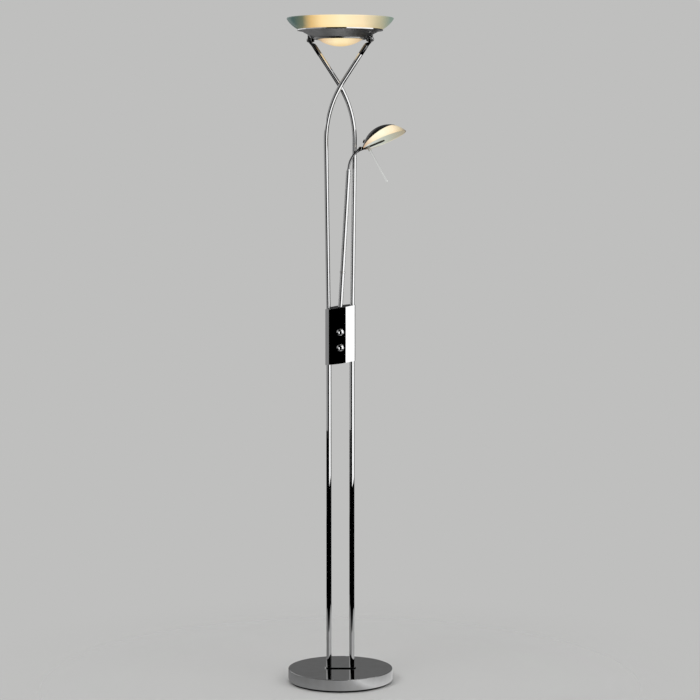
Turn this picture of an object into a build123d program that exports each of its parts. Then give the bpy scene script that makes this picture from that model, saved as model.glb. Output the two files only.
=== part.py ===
from build123d import *
import math
import os

# Torchiere floor lamp with a reading light. Millimetres, +Z up, front towards -Y,
# origin on the floor under the middle of the round base.

# Base
base_radius = 142.5
cover_height = 30.0
cover_wall = 1.5
cover_edge_radius = 2.5
cover_clearance = 3.0
plate_margin = 6.5
plate_thickness = 2.0
pad_thickness = 4.0
pad_width = 26.0
pad_margin = 1.0
weight_thickness = 20.0
weight_boss_radius = 52.0
pocket_radius = 15.0
pocket_depth = 12.0
channel_width = 12.0
channel_height = 8.0
base_screw_inset = 36.0
base_screw_radius = 2.5
base_screw_length = 14.0
gland_radius = 5.0
gland_bore = 3.6
gland_flange_radius = 7.5
gland_flange_thickness = 1.8
foot_plate_thickness = 3.0
foot_plate_margin = 4.5

# Tubes
tube_spread = 31.3
lower_tube_radius = 7.0
lower_tube_wall = 1.2
upper_tube_radius = 6.0
upper_tube_wall = 1.1
nipple_radius = 4.5
nipple_bore = 3.0
nipple_reach = 24.0
washer_radius = 11.0
washer_thickness = 2.0
nut_radius = 8.5
nut_height = 6.0
tube_joint_z = 950.0
shoulder_height = 3.0
plug_length = 22.0
joiner_bore = 2.8
spigot_lead_bore = 2.4
splay_angle = 0.8
bend_radius = 290.0
top_lean = 33.6
plane_yaw = 11.5
pivot_z = 1742.0
pivot_inset = 23.15

# Tube ends and head pivots
knuckle_to_pivot = 16.0
tube_end_gap = 19.5
knuckle_half_width = 5.0
eye_radius = 6.5
eye_thickness = 6.0
cheek_thickness = 3.0
cheek_gap = 0.3
clevis_crown_gap = 0.8
pivot_screw_radius = 2.4
pivot_head_radius = 5.0
pivot_head_height = 3.5

# Uplighter head, heights above the pivots
bowl_wall = 1.2
bowl_hole_radius = 61.0
bowl_flat_radius = 71.0
bowl_flat_height = 5.0
bowl_ledge_radius = 106.0
bowl_rim_radius = 114.5
bowl_rim_height = 24.0
bowl_lip_height = 3.5
dish_top_radius = 144.6
dish_top_height = 58.0
dish_curve_radius = 74.0
dish_thickness = 4.5
dish_foot_width = 13.0
lens_radius = 63.0
lens_depth = 20.5
lens_thickness = 3.0
lens_flange_width = 3.2
lens_flange_thickness = 1.6
lens_ring_radius = 70.5
lens_ring_height = 4.0
lens_ring_lip = 2.0
lamp_height = 25.0
lamp_radius = 5.5
lamp_length = 114.0
lamp_cap_length = 8.0
lamp_cap_radius = 4.0
holder_length = 15.0
holder_width = 15.0
holder_height = 16.0
strip_width = 18.0
strip_thickness = 1.5
strip_height = 15.0
strip_foot_radius = 5.5
bolt_radius = 2.5
bolt_nut_radius = 4.6
bolt_nut_height = 3.6

# Control box
box_z = 950.3
box_plate_height = 151.0
box_plate_half_width = 40.4
box_plate_curve = 100.0
box_plate_thickness = 1.5
box_cut_angle = 8.5
box_cut_rise = 10.0
box_front = 21.5
box_back = 20.0
box_half_width = 34.0
box_end_inset = 3.0
box_wall = 4.0
box_groove_clearance = 0.2
box_cavity_half_width = 16.0
box_cavity_bottom = 58.0
box_cavity_top = 34.0
box_screw_offset = 19.8
box_screw_drop = 62.0
box_screw_radius = 1.6
box_screw_head_radius = 3.0
knob_spacing = 42.0
knob_drop = 10.8
knob_radius = 9.6
knob_length = 12.5
knob_gap = 0.6
knob_dimple_radius = 4.6
knob_dimple_depth = 1.0
knob_recess_radius = 7.6
knob_recess_depth = 3.0
spindle_radius = 3.0
spindle_flat = 1.0
bush_radius = 4.0
bush_nut_radius = 6.2
bush_nut_height = 2.0
dimmer_width = 26.0
dimmer_height = 24.0
dimmer_depth = 10.0
board_thickness = 1.6
board_margin = 3.0
running_fit = 0.08

# Reading arm, lengths along the arm from the top of the box
arm_y = -12.0
arm_lean = 3.4
arm_radius = 6.25
arm_wall = 1.2
arm_socket_depth = 24.0
arm_collar_radius = 8.6
arm_collar_height = 5.0
arm_joint = 96.0
arm_ring_radius = 7.6
arm_ring_height = 4.0
arm_gap = 0.3
spigot_length = 26.0
spigot_bore = 2.6
arm_length = 376.0
neck_bush_length = 7.0
neck_bush_plug = 16.0
neck_radius = 3.15
neck_bore = 1.8
neck_plug = 18.0
neck_bend_radius = 67.4
neck_bend = 47.0
neck_tail = 3.0

# Reading head, in its own frame: x from the hinge to the far side, z along the dome
head_tilt = 22.5
head_roll = 8.6
hinge_offset = 69.0
hinge_rise = 3.0
hinge_eye_radius = 5.0
hinge_eye_thickness = 5.0
hinge_socket_radius = 4.4
hinge_socket_length = 4.0
hinge_socket_gap = 6.5
hinge_screw_radius = 2.0
hinge_head_radius = 4.4
hinge_head_height = 3.0
shade_radius = 62.2
shade_height = 37.5
shade_thickness = 3.0
shell_gap = 0.2
shell_thickness = 1.0
shell_rise = 18.0
shell_pitch = 23.0
notch_half_width = 9.6
notch_height = 10.0
disc_thickness = 3.0
disc_gap = 0.3
tongue_width = 16.0
tongue_reach = 58.0
tongue_thickness = 3.4
tongue_lip = 3.0
tongue_lip_thickness = 2.0
lug_height = 16.0
lug_width = 9.0
lug_length = 10.0
shell_screw_radius = 2.0
shell_screw_head_radius = 5.0
shell_screw_head_height = 3.6
capsule_radius = 6.5
capsule_length = 34.0
capsule_holder_radius = 8.0
capsule_holder_length = 14.0
capsule_axis_height = 8.2
capsule_holder_start = 26.5
handle_radius = 2.5
handle_length = 103.0
handle_lean = 5.9
handle_place = 21.5
handle_socket_radius = 4.0
handle_socket_height = 10.0
handle_plug = 7.0

fit = 0.05
big = 400.0

base_bottom = pad_thickness + plate_thickness
plate_radius = base_radius - plate_margin
pivot_radius = bowl_ledge_radius - pivot_inset
base_top = base_bottom + cover_height
tube_foot = base_top + foot_plate_thickness
weight_radius = base_radius - cover_wall - cover_clearance
lower_bore = lower_tube_radius - lower_tube_wall
upper_bore = upper_tube_radius - upper_tube_wall
sides = (-1, 1)
on_z = (Align.CENTER, Align.CENTER, Align.MIN)


def bar(radius, low, high, x=0.0, y=0.0):
    return Pos(x, y, low) * Cylinder(radius, high - low, align=on_z)


def block(x0, x1, y0, y1, z0, z1):
    middle = Pos((x0 + x1) / 2, (y0 + y1) / 2, (z0 + z1) / 2)
    return middle * Box(x1 - x0, y1 - y0, z1 - z0)


def turned(*corners):
    outline = Polyline(*corners, close=True)
    return revolve(Plane.XZ * make_face(outline), Axis.Z)


def hexagon(radius, low, high):
    return Pos(0, 0, low) * extrude(RegularPolygon(radius, 6), high - low)


def other_side(shape):
    return shape.rotate(Axis.Z, 180)


def save(name, *solids):
    whole = solids[0] if len(solids) == 1 else Compound(children=list(solids))
    export_step(whole, f"parts/{name}.step")


# Base: a weight under a pressed cover, closed below by a plate on a rubber ring.


def foot_ring():
    outer = plate_radius - pad_margin
    return bar(outer, 0, pad_thickness) - bar(outer - pad_width, 0, pad_thickness)


def screw_places():
    return [Rot(0, 0, 45 + 90 * i) * Pos(plate_radius - base_screw_inset, 0, 0) for i in range(4)]


def base_screw(clearance=0.0):
    head_top = pad_thickness + base_screw_radius
    radius = base_screw_radius + clearance
    head = Pos(0, 0, pad_thickness) * Cone(2 * radius, radius, base_screw_radius, align=on_z)
    return head + bar(radius, head_top, pad_thickness + base_screw_length + clearance)


def base_plate():
    plate = bar(plate_radius, pad_thickness, base_bottom)
    for place in screw_places():
        plate -= place * base_screw(fit)
    return plate


def base_weight():
    top = base_bottom + weight_thickness
    weight = bar(weight_radius, base_bottom, top) + bar(weight_boss_radius, top, base_top - cover_wall)
    roof = base_bottom + channel_height
    weight -= block(-channel_width / 2, channel_width / 2, 0, base_radius, base_bottom, roof)
    weight -= block(-tube_spread, tube_spread, -channel_width / 2, channel_width / 2, base_bottom, roof)
    for side in sides:
        weight -= bar(pocket_radius, base_bottom, base_bottom + pocket_depth, side * tube_spread)
        weight -= bar(nipple_radius + fit, base_bottom, base_top, side * tube_spread)
    for place in screw_places():
        weight -= place * base_screw(fit)
    return weight


def cover_outside():
    body = bar(base_radius, base_bottom, base_top)
    return fillet(body.edges().sort_by(Axis.Z)[-1], cover_edge_radius)


def gland_z():
    return base_bottom + channel_height / 2 + 2.5


def gland_plane():
    return Plane(origin=(0, base_radius, gland_z()), z_dir=(0, 1, 0))


def base_cover():
    inside = bar(base_radius - cover_wall, base_bottom, base_top - cover_wall)
    cover = cover_outside() - fillet(inside.edges().sort_by(Axis.Z)[-1], cover_edge_radius - cover_wall / 2)
    for side in sides:
        cover -= bar(nipple_radius + fit, base_bottom, base_top, side * tube_spread)
    return cover - gland_plane() * bar(gland_radius + fit, -10, 10)


def cable_gland():
    stem = gland_plane() * bar(gland_radius, -cover_wall - 2, gland_flange_thickness)
    flange = gland_plane() * bar(gland_flange_radius, -2, gland_flange_thickness)
    gland = stem + (flange - bar(base_radius, base_bottom, base_top))
    return gland - gland_plane() * bar(gland_bore, -10, 10)


def foot_plate():
    width = 2 * (lower_tube_radius + foot_plate_margin)
    outline = SlotCenterToCenter(2 * tube_spread, width)
    plate = Pos(0, 0, base_top) * extrude(outline, foot_plate_thickness)
    plate = chamfer(plate.edges().group_by(Axis.Z)[-1], 0.5)
    for side in sides:
        plate -= bar(nipple_radius + fit, base_top, tube_foot, side * tube_spread)
    return plate


def pocket_roof():
    return base_bottom + pocket_depth


def nipple(side):
    low = pocket_roof() - washer_thickness - nut_height - 1.5
    return bar(nipple_radius, low, tube_foot + nipple_reach, side * tube_spread) - bar(
        nipple_bore, low, tube_foot + nipple_reach, side * tube_spread
    )


def base_washer(side):
    low = pocket_roof() - washer_thickness
    x = side * tube_spread
    return bar(washer_radius, low, pocket_roof(), x) - bar(nipple_radius + fit, low, pocket_roof(), x)


def base_nut(side):
    high = pocket_roof() - washer_thickness
    x = side * tube_spread
    return Pos(x, 0, 0) * hexagon(nut_radius, high - nut_height, high) - bar(
        nipple_radius + fit, high - nut_height, high, x
    )


def tube_insert(side):
    x = side * tube_spread
    high = tube_foot + nipple_reach
    return bar(lower_bore - fit, tube_foot, high, x) - bar(nipple_radius + fit, tube_foot, high, x)


# Tubes: straight below the box, splayed and bent above it. Each upper tube lies in one
# upright plane, turned so that the two pass clear of each other where they cross.


def lower_tube(side):
    x = side * tube_spread
    return bar(lower_tube_radius, tube_foot, tube_joint_z, x) - bar(lower_bore, tube_foot, tube_joint_z, x)


def bend_plane():
    yaw = math.radians(plane_yaw)
    inward = (math.cos(yaw), -math.sin(yaw), 0)
    return Plane(origin=(-tube_spread, 0, 0), x_dir=inward, z_dir=(math.sin(yaw), math.cos(yaw), 0))


def heading(angle):
    return math.sin(math.radians(angle)), math.cos(math.radians(angle))


def in_bend_plane(across, height):
    # The plane's own second axis points down, so heights change sign on the way in.
    return bend_plane().from_local_coords(Vector(across, -height, 0))


def seat_height():
    return tube_joint_z + shoulder_height


def pivot_across():
    # How far along the bend plane the pivot stands, from its radius about the stand
    yaw = math.radians(plane_yaw)
    aside = tube_spread * math.sin(yaw)
    return tube_spread * math.cos(yaw) + math.sqrt(pivot_radius**2 - aside**2)


def bend_corners():
    # The bend begins where it must for the straight top to run into the pivot.
    sin_in, cos_in = heading(-splay_angle)
    sin_out, cos_out = heading(top_lean)
    splay, lean = -sin_in / cos_in, sin_out / cos_out
    bend_across = bend_radius * (cos_in - cos_out)
    bend_rise = bend_radius * (sin_out - sin_in)
    low = seat_height()
    reach = low * splay + bend_across + (pivot_z - bend_rise) * lean
    bend_z = (reach - pivot_across()) / (splay + lean)
    bend = ((low - bend_z) * splay, bend_z)
    bend_end = (bend[0] + bend_across, bend_z + bend_rise)
    return (0.0, low), bend, bend_end, (pivot_across(), pivot_z)


def top_direction():
    sin_out, cos_out = heading(top_lean)
    return (in_bend_plane(sin_out, cos_out) - in_bend_plane(0, 0)).normalized()


def splay_direction():
    sin_in, cos_in = heading(-splay_angle)
    return (in_bend_plane(sin_in, cos_in) - in_bend_plane(0, 0)).normalized()


def pivot_point():
    return in_bend_plane(*bend_corners()[3])


def upper_tube():
    start, bend, bend_end, _ = bend_corners()
    end = pivot_point() - top_direction() * tube_end_gap
    middle_angle = (top_lean - splay_angle) / 2
    sin_mid, cos_mid = heading(middle_angle)
    _, cos_in = heading(-splay_angle)
    sin_in, _ = heading(-splay_angle)
    middle = (bend[0] + bend_radius * (cos_in - cos_mid), bend[1] + bend_radius * (sin_mid - sin_in))
    first = in_bend_plane(*start)
    path = Wire(
        [
            Edge.make_line(first, in_bend_plane(*bend)),
            Edge.make_three_point_arc(in_bend_plane(*bend), in_bend_plane(*middle), in_bend_plane(*bend_end)),
            Edge.make_line(in_bend_plane(*bend_end), end),
        ]
    )
    section = Plane(origin=first, z_dir=splay_direction())
    outside = sweep(section * Circle(upper_tube_radius), path=path)
    return outside - sweep(section * Circle(upper_bore), path=path)


def tube_joiner():
    foot = in_bend_plane(*bend_corners()[0])
    seat = Plane(origin=foot, z_dir=splay_direction())
    plug = bar(lower_bore - fit, tube_joint_z - plug_length, tube_joint_z, -tube_spread)
    shoulder = bar(lower_tube_radius, tube_joint_z, tube_joint_z + shoulder_height + 1, -tube_spread)
    shoulder -= seat * bar(3 * lower_tube_radius, 0, 10)
    spigot = seat * bar(upper_bore - fit, -1, plug_length)
    joiner = plug + shoulder + spigot
    joiner -= bar(joiner_bore, tube_joint_z - plug_length, tube_joint_z, -tube_spread)
    return joiner - seat * bar(spigot_lead_bore, -shoulder_height - 1, plug_length)


def pivot_frame():
    # x outwards along the tilt axis, z up, at the right pivot
    outward = Vector(pivot_point().X, pivot_point().Y, 0).normalized()
    return Plane(origin=pivot_point(), x_dir=outward, z_dir=(0, 0, 1))


def along_tilt_axis(solid):
    # Stands a solid made along Z on the tilt axis, with its top outwards.
    return pivot_frame() * Rot(0, 90, 0) * solid


def tube_stem():
    # The plug, the shoulder on the tube's end and the round nose, about one axis
    seat = knuckle_to_pivot - tube_end_gap
    low, plug, shoulder = seat - plug_length, upper_bore - fit, upper_tube_radius
    middle = shoulder * math.sqrt(0.5)
    outline = [
        Line((0, low), (plug, low)),
        Line((plug, low), (plug, seat)),
        Line((plug, seat), (shoulder, seat)),
        Line((shoulder, seat), (shoulder, 0)),
        ThreePointArc((shoulder, 0), (middle, middle), (0, shoulder)),
        Line((0, shoulder), (0, low)),
    ]
    return revolve(Plane.XZ * make_face(outline), Axis.Z)


def tube_end():
    knuckle = pivot_point() - top_direction() * knuckle_to_pivot
    stem = Plane(origin=knuckle, z_dir=top_direction()) * tube_stem()
    drop = knuckle_to_pivot * math.cos(math.radians(top_lean))
    inward = knuckle_to_pivot * math.sin(math.radians(top_lean))
    half = eye_thickness / 2
    depth = knuckle_half_width
    root = pivot_frame() * block(-inward, half, -depth, depth, -drop - 3, -eye_radius - 1.1)
    eye = along_tilt_axis(bar(eye_radius, -half, half))
    web = pivot_frame() * block(-half, half, -depth, depth, -drop, 0)
    end = stem + root + eye + web
    return end - along_tilt_axis(bar(pivot_screw_radius + fit, -20, 20))


# Uplighter head, turned about the tilt axis. Heights are above the pivots.


def head_frame():
    return Plane(origin=(0, 0, pivot_z), x_dir=pivot_frame().x_dir, z_dir=(0, 0, 1))


def bowl():
    wall = bowl_wall
    low, high = bowl_flat_height, bowl_rim_height
    top = high + bowl_lip_height
    lip = bowl_rim_radius - wall
    shell = turned(
        (bowl_hole_radius, low),
        (bowl_flat_radius, low),
        (bowl_ledge_radius, high),
        (bowl_rim_radius, high),
        (bowl_rim_radius, top),
        (lip, top),
        (lip, high + wall),
        (bowl_ledge_radius - wall / 3, high + wall),
        (bowl_flat_radius - wall / 3, low + wall),
        (bowl_hole_radius, low + wall),
    )
    for side in sides:
        shell -= bar(bolt_radius + fit, low, high, side * pivot_radius)
    return head_frame() * shell


def above_bowl_underside():
    low, high = bowl_flat_height, bowl_rim_height
    far = bowl_ledge_radius + big
    return turned((0, low), (bowl_flat_radius, low), (bowl_ledge_radius, high), (far, high), (far, big), (0, big))


def below_bowl_inside():
    low, high = bowl_flat_height + bowl_wall, bowl_rim_height + bowl_wall
    inner, outer = bowl_flat_radius - bowl_wall / 3, bowl_ledge_radius - bowl_wall / 3
    return turned((0, low), (inner, low), (outer, high), (outer, -big), (0, -big))


def clevis():
    gap = eye_thickness / 2 + cheek_gap
    outer = gap + cheek_thickness
    top = bowl_rim_height
    solid = block(-outer, outer, -eye_radius, eye_radius, 0, top)
    solid += Rot(0, 90, 0) * bar(eye_radius, -outer, outer)
    solid -= block(-gap, gap, -20, 20, -20, eye_radius + clevis_crown_gap)
    solid -= Rot(0, 90, 0) * bar(pivot_screw_radius + fit, -20, 20)
    solid -= bar(bolt_radius + fit, 0, top)
    solid = Pos(pivot_radius, 0, 0) * solid
    return head_frame() * (solid - above_bowl_underside())


def pivot_screw():
    reach = eye_thickness / 2 + cheek_gap + cheek_thickness
    shank = bar(pivot_screw_radius, -reach - pivot_head_height, reach)
    head = bar(pivot_head_radius, reach, reach + pivot_head_height)
    return along_tilt_axis(shank + fillet(head.edges().sort_by(Axis.Z)[-1], 1.2))


def pivot_nut():
    reach = eye_thickness / 2 + cheek_gap + cheek_thickness
    nut = hexagon(pivot_head_radius, -reach - pivot_head_height, -reach)
    return along_tilt_axis(nut - bar(pivot_screw_radius + fit, -20, 20))


def dish_ledge():
    return bowl_rim_height + bowl_wall


def dish_glass():
    low, top = dish_ledge(), dish_top_height
    foot = bowl_rim_radius - bowl_wall - 0.5
    step = low + dish_thickness
    inner_foot = foot - dish_thickness * 1.1
    inner_top = dish_top_radius - dish_thickness
    profile = [
        Line((foot, low), (foot, low + bowl_lip_height - bowl_wall)),
        RadiusArc((foot, low + bowl_lip_height - bowl_wall), (dish_top_radius, top), -dish_curve_radius),
        Line((dish_top_radius, top), (inner_top, top)),
        RadiusArc((inner_top, top), (inner_foot, step), dish_curve_radius),
        Line((inner_foot, step), (foot - dish_foot_width, step)),
        Line((foot - dish_foot_width, step), (foot - dish_foot_width, low)),
        Line((foot - dish_foot_width, low), (foot, low)),
    ]
    dish = revolve(Plane.XZ * make_face(profile), Axis.Z)
    rim = dish.edges().group_by(Axis.Z)[-1]
    return head_frame() * fillet(rim, dish_thickness * 0.4)


def lens_level():
    return bowl_flat_height - lens_ring_height + lens_ring_lip


def lens_glass():
    level = lens_level()
    depth = lens_depth
    outer = (lens_radius**2 + depth**2) / (2 * depth)
    cap = Pos(0, 0, level - depth + outer) * (Sphere(outer) - Sphere(outer - lens_thickness))
    cap -= block(-big, big, -big, big, level + lens_flange_thickness, level + 2 * big)
    flange = bar(lens_radius + lens_flange_width, level, level + lens_flange_thickness)
    flange -= bar(lens_radius - 3, level, level + lens_flange_thickness)
    return head_frame() * (cap + flange)


def lens_ring():
    low = bowl_flat_height - lens_ring_height
    inner = lens_radius + 0.3
    groove = lens_radius + lens_flange_width + 0.3
    ring = turned(
        (inner, low),
        (lens_ring_radius, low),
        (lens_ring_radius, bowl_flat_height),
        (groove, bowl_flat_height),
        (groove, lens_level()),
        (inner, lens_level()),
    )
    return head_frame() * ring


def holder_inner():
    return lamp_length / 2 - lamp_cap_length + 1


def lamp_strip():
    end = pivot_radius + strip_foot_radius
    strip = block(-end, end, -strip_width / 2, strip_width / 2, strip_height, strip_height + strip_thickness)
    for side in sides:
        x = side * pivot_radius
        strip += bar(strip_foot_radius, 0, strip_height, x)
        strip -= bar(bolt_radius + fit, 0, big, x)
    return head_frame() * (strip - below_bowl_inside())


def lamp_bolt(side):
    x = side * pivot_radius
    low = eye_radius + clevis_crown_gap
    return head_frame() * bar(bolt_radius, low, strip_height + strip_thickness + bolt_nut_height + 1, x)


def lamp_nut(side):
    low = strip_height + strip_thickness
    x = side * pivot_radius
    nut = Pos(x, 0, 0) * hexagon(bolt_nut_radius, low, low + bolt_nut_height)
    return head_frame() * (nut - bar(bolt_radius + fit, low, low + bolt_nut_height, x))


def lampholder(side):
    low = strip_height + strip_thickness
    half = holder_width / 2
    start, end = holder_inner(), holder_inner() + holder_length
    body = block(start, end, -half, half, low, low + holder_height)
    body = fillet(body.edges().filter_by(Axis.X), 2.0)
    body -= Pos(start, 0, lamp_height) * Rot(0, 90, 0) * bar(lamp_cap_radius + 0.3, 0, lamp_cap_length)
    return head_frame() * Rot(0, 0, 0 if side > 0 else 180) * body


def halogen_lamp():
    tube = Cylinder(lamp_radius, lamp_length - 2 * lamp_cap_length - 2)
    lamp = fillet(tube.edges(), 1.4) + Cylinder(lamp_cap_radius, lamp_length)
    return head_frame() * Pos(0, 0, lamp_height) * Rot(0, 90, 0) * lamp


# Control box: two clamped halves round the tubes, behind a curved front plate cut
# obliquely at both ends.


def end_plane(height):
    # The ends of the box slope up to the right and a little to the back.
    across = math.tan(math.radians(box_cut_angle))
    back = math.tan(math.radians(box_cut_rise))
    return Plane(origin=(0, -box_front, height), z_dir=(-across, -back, 1))


def between_ends(body, inset):
    half = box_plate_height / 2 - inset
    body = split(body, end_plane(box_z + half), keep=Keep.BOTTOM)
    return split(body, end_plane(box_z - half), keep=Keep.TOP)


def front_round(depth):
    return bar(box_plate_curve - depth, box_z - big / 2, box_z + big / 2, 0, box_plate_curve - box_front)


def back_round(depth):
    return bar(box_plate_curve - depth, box_z - big / 2, box_z + big / 2, 0, box_back - box_plate_curve)


def knob_heights():
    middle = box_z - knob_drop
    return {"upper": middle + knob_spacing / 2, "lower": middle - knob_spacing / 2}


def at_knob(height, solid):
    # Stands a solid made along Z on the plate's front, with its top towards the user.
    return Plane(origin=(0, -box_front, height), x_dir=(1, 0, 0), z_dir=(0, -1, 0)) * solid


def box_plate():
    band = front_round(0) - front_round(box_plate_thickness)
    low, high = box_z - big / 2, box_z + big / 2
    front = block(-box_plate_half_width, box_plate_half_width, -box_front - 1, 0, low, high)
    plate = between_ends(band & front, 0)
    for height in knob_heights().values():
        plate -= at_knob(height, bar(bush_radius + 0.1, -10, 10))
    return plate


def tube_grooves():
    radius = lower_tube_radius + box_groove_clearance
    low, high = box_z - big / 2, box_z + big / 2
    return bar(radius, low, high, -tube_spread) + bar(radius, low, high, tube_spread)


def box_screw_places():
    across = math.tan(math.radians(box_cut_angle))
    middle = box_z + (box_front + box_back) * math.tan(math.radians(box_cut_rise))
    return [
        (x, middle + x * across + rise)
        for x in (-box_screw_offset, box_screw_offset)
        for rise in (-box_screw_drop, box_screw_drop)
    ]


def box_screw(clearance=0.0):
    # Along Z, with its head's top at 0 and the shank below it
    head = bar(box_screw_head_radius + 2 * clearance, -2, 0)
    return head + bar(box_screw_radius + clearance, -box_back - 4 - clearance, 0)


def at_box_screw(x, z, solid):
    depth = box_back - x * x / (2 * box_plate_curve) - 0.9
    return Plane(origin=(x, depth, z), x_dir=(-1, 0, 0), z_dir=(0, 1, 0)) * solid


def box_cavity(front, back):
    middle = box_z - knob_drop
    half = box_cavity_half_width
    return block(-half, half, front, back, middle - box_cavity_bottom, middle + box_cavity_top + knob_drop)


def box_housing():
    low, high = box_z - big / 2, box_z + big / 2
    slab = block(-box_half_width, box_half_width, -box_front, 0, low, high)
    body = between_ends(slab & front_round(box_plate_thickness), box_end_inset)
    body -= tube_grooves()
    body -= box_cavity(-box_front + box_plate_thickness + box_wall, 0)
    for height in knob_heights().values():
        body -= at_knob(height, bar(bush_radius + 0.1, -10, 10))
    body -= arm_axis() * bar(arm_radius + fit, -arm_socket_depth, big)
    for x, z in box_screw_places():
        body -= at_box_screw(x, z, box_screw(fit))
    return body


def box_back_cover():
    low, high = box_z - big / 2, box_z + big / 2
    slab = block(-box_half_width, box_half_width, 0, box_back, low, high)
    body = between_ends(slab & back_round(0), box_end_inset)
    body = fillet(body.faces().sort_by(Axis.Y)[-1].edges().filter_by(Axis.Z), 3.0)
    body -= tube_grooves()
    body -= box_cavity(0, box_back - box_wall)
    for x, z in box_screw_places():
        body -= at_box_screw(x, z, box_screw(fit) + bar(box_screw_head_radius + 0.1, 0, 5))
    return body


def dimmer(height):
    inner = box_plate_thickness + box_wall
    body = block(
        -dimmer_width / 2,
        dimmer_width / 2,
        -dimmer_height / 2,
        dimmer_height / 2,
        -inner - dimmer_depth,
        -inner,
    )
    half_width = dimmer_width / 2 + board_margin - 1
    half_height = dimmer_height / 2 + board_margin
    back = -inner - dimmer_depth
    board = block(-half_width, half_width, -half_height, half_height, back - board_thickness, back)
    bush = bar(bush_radius, -inner, bush_nut_height + 0.5)
    bore = bar(spindle_radius + running_fit, -inner - 5, 20)
    return at_knob(height, body + board + bush - bore)


def dimmer_nut(height):
    nut = hexagon(bush_nut_radius, 0, bush_nut_height)
    return at_knob(height, nut - bar(bush_radius + fit, -5, 5))


def spindle_end():
    return knob_gap + knob_length - 3.5


def spindle(height, clearance=0.0):
    start = -box_plate_thickness - box_wall - 4.5
    radius = spindle_radius + clearance
    shaft = bar(radius, start, spindle_end() + clearance)
    flat_from = knob_gap + knob_recess_depth
    flat = block(-5, 5, radius - spindle_flat, 5, flat_from, spindle_end() + 1)
    return at_knob(height, shaft - flat)


def knob(height):
    low, high = knob_gap, knob_gap + knob_length
    body = bar(knob_radius, low, high)
    body = fillet(body.edges().sort_by(Axis.Z)[-1], 1.6)
    dish = (knob_dimple_radius**2 + knob_dimple_depth**2) / (2 * knob_dimple_depth)
    body -= Pos(0, 0, high - knob_dimple_depth + dish) * Sphere(dish)
    body -= bar(knob_recess_radius, low, low + knob_recess_depth)
    return at_knob(height, body) - spindle(height, fit)


# Reading arm: a stub fixed in the box, a tube that swivels on it, a bent neck.


def arm_axis():
    sin_lean, cos_lean = heading(arm_lean)
    top = box_z + box_plate_height / 2 - box_end_inset
    return Plane(origin=(0, arm_y, top), x_dir=(cos_lean, 0, -sin_lean), z_dir=(sin_lean, 0, cos_lean))


def arm_stub():
    low, high = -arm_socket_depth + fit, arm_joint
    return arm_axis() * (bar(arm_radius, low, high) - bar(arm_radius - arm_wall, low, high))


def arm_collar():
    collar = bar(arm_collar_radius, -8, arm_collar_height) - bar(arm_radius + fit, -8, arm_collar_height)
    housing_top = end_plane(box_z + box_plate_height / 2 - box_end_inset)
    collar = split(arm_axis() * collar, housing_top, keep=Keep.TOP)
    return collar & front_round(box_plate_thickness + fit)


def spigot():
    radius = arm_radius - arm_wall - running_fit
    low, high = arm_joint - spigot_length, arm_joint + arm_ring_height + spigot_length
    return arm_axis() * (bar(radius, low, high) - bar(spigot_bore, low, high))


def arm_ring():
    low, high = arm_joint, arm_joint + arm_ring_height
    ring = bar(arm_ring_radius, low, high)
    ring = fillet(ring.edges().group_by(Axis.Z)[0] + ring.edges().group_by(Axis.Z)[-1], 0.8)
    return arm_axis() * (ring - bar(arm_radius - arm_wall - running_fit + fit, low, high))


def arm_tube():
    low = arm_joint + arm_ring_height + arm_gap
    high = arm_length - neck_bush_length
    return arm_axis() * (bar(arm_radius, low, high) - bar(arm_radius - arm_wall, low, high))


def neck_bush():
    seat = arm_length - neck_bush_length
    low = seat - neck_bush_plug
    shoulder = Pos(0, 0, seat) * Cone(arm_radius, neck_radius + 1.2, neck_bush_length, align=on_z)
    bush = bar(arm_radius - arm_wall - fit, low, seat) + shoulder
    return arm_axis() * (bush - bar(neck_radius + fit, low, arm_length))


def neck_points():
    sin_bend, cos_bend = heading(neck_bend)
    sin_half, cos_half = heading(neck_bend / 2)
    low = Vector(0, 0, arm_length - neck_plug)
    bend = Vector(0, 0, arm_length)
    middle = Vector(neck_bend_radius * (1 - cos_half), 0, arm_length + neck_bend_radius * sin_half)
    bend_end = Vector(neck_bend_radius * (1 - cos_bend), 0, arm_length + neck_bend_radius * sin_bend)
    direction = Vector(sin_bend, 0, cos_bend)
    return low, bend, middle, bend_end, direction


def hinge_point():
    _, _, _, bend_end, direction = neck_points()
    return arm_axis().from_local_coords(bend_end + direction * (neck_tail + hinge_socket_gap))


def neck():
    low, bend, middle, bend_end, direction = neck_points()
    path = Wire(
        [
            Edge.make_line(low, bend),
            Edge.make_three_point_arc(bend, middle, bend_end),
            Edge.make_line(bend_end, bend_end + direction * neck_tail),
        ]
    )
    section = Plane(origin=low, z_dir=(0, 0, 1))
    outside = sweep(section * Circle(neck_radius), path=path)
    return arm_axis() * (outside - sweep(section * Circle(neck_bore), path=path))


def neck_direction():
    direction = neck_points()[4]
    return (arm_axis().from_local_coords(direction) - arm_axis().origin).normalized()


# Reading head


def head_directions():
    sin_tilt, cos_tilt = heading(head_tilt)
    sin_roll, cos_roll = heading(head_roll)
    along = Vector(cos_tilt, 0, sin_tilt)
    up = Vector(-sin_tilt * cos_roll, sin_roll, cos_tilt * cos_roll)
    return along, up


def reading_frame():
    along, up = head_directions()
    centre = hinge_point() + along * hinge_offset - up * hinge_rise
    return Plane(origin=centre, x_dir=along, z_dir=up)


def at_hinge(solid):
    # Stands a solid made along Z on the hinge's axis, with its top towards the front.
    return reading_frame() * Pos(-hinge_offset, 0, hinge_rise) * Rot(90, 0, 0) * solid


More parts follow.
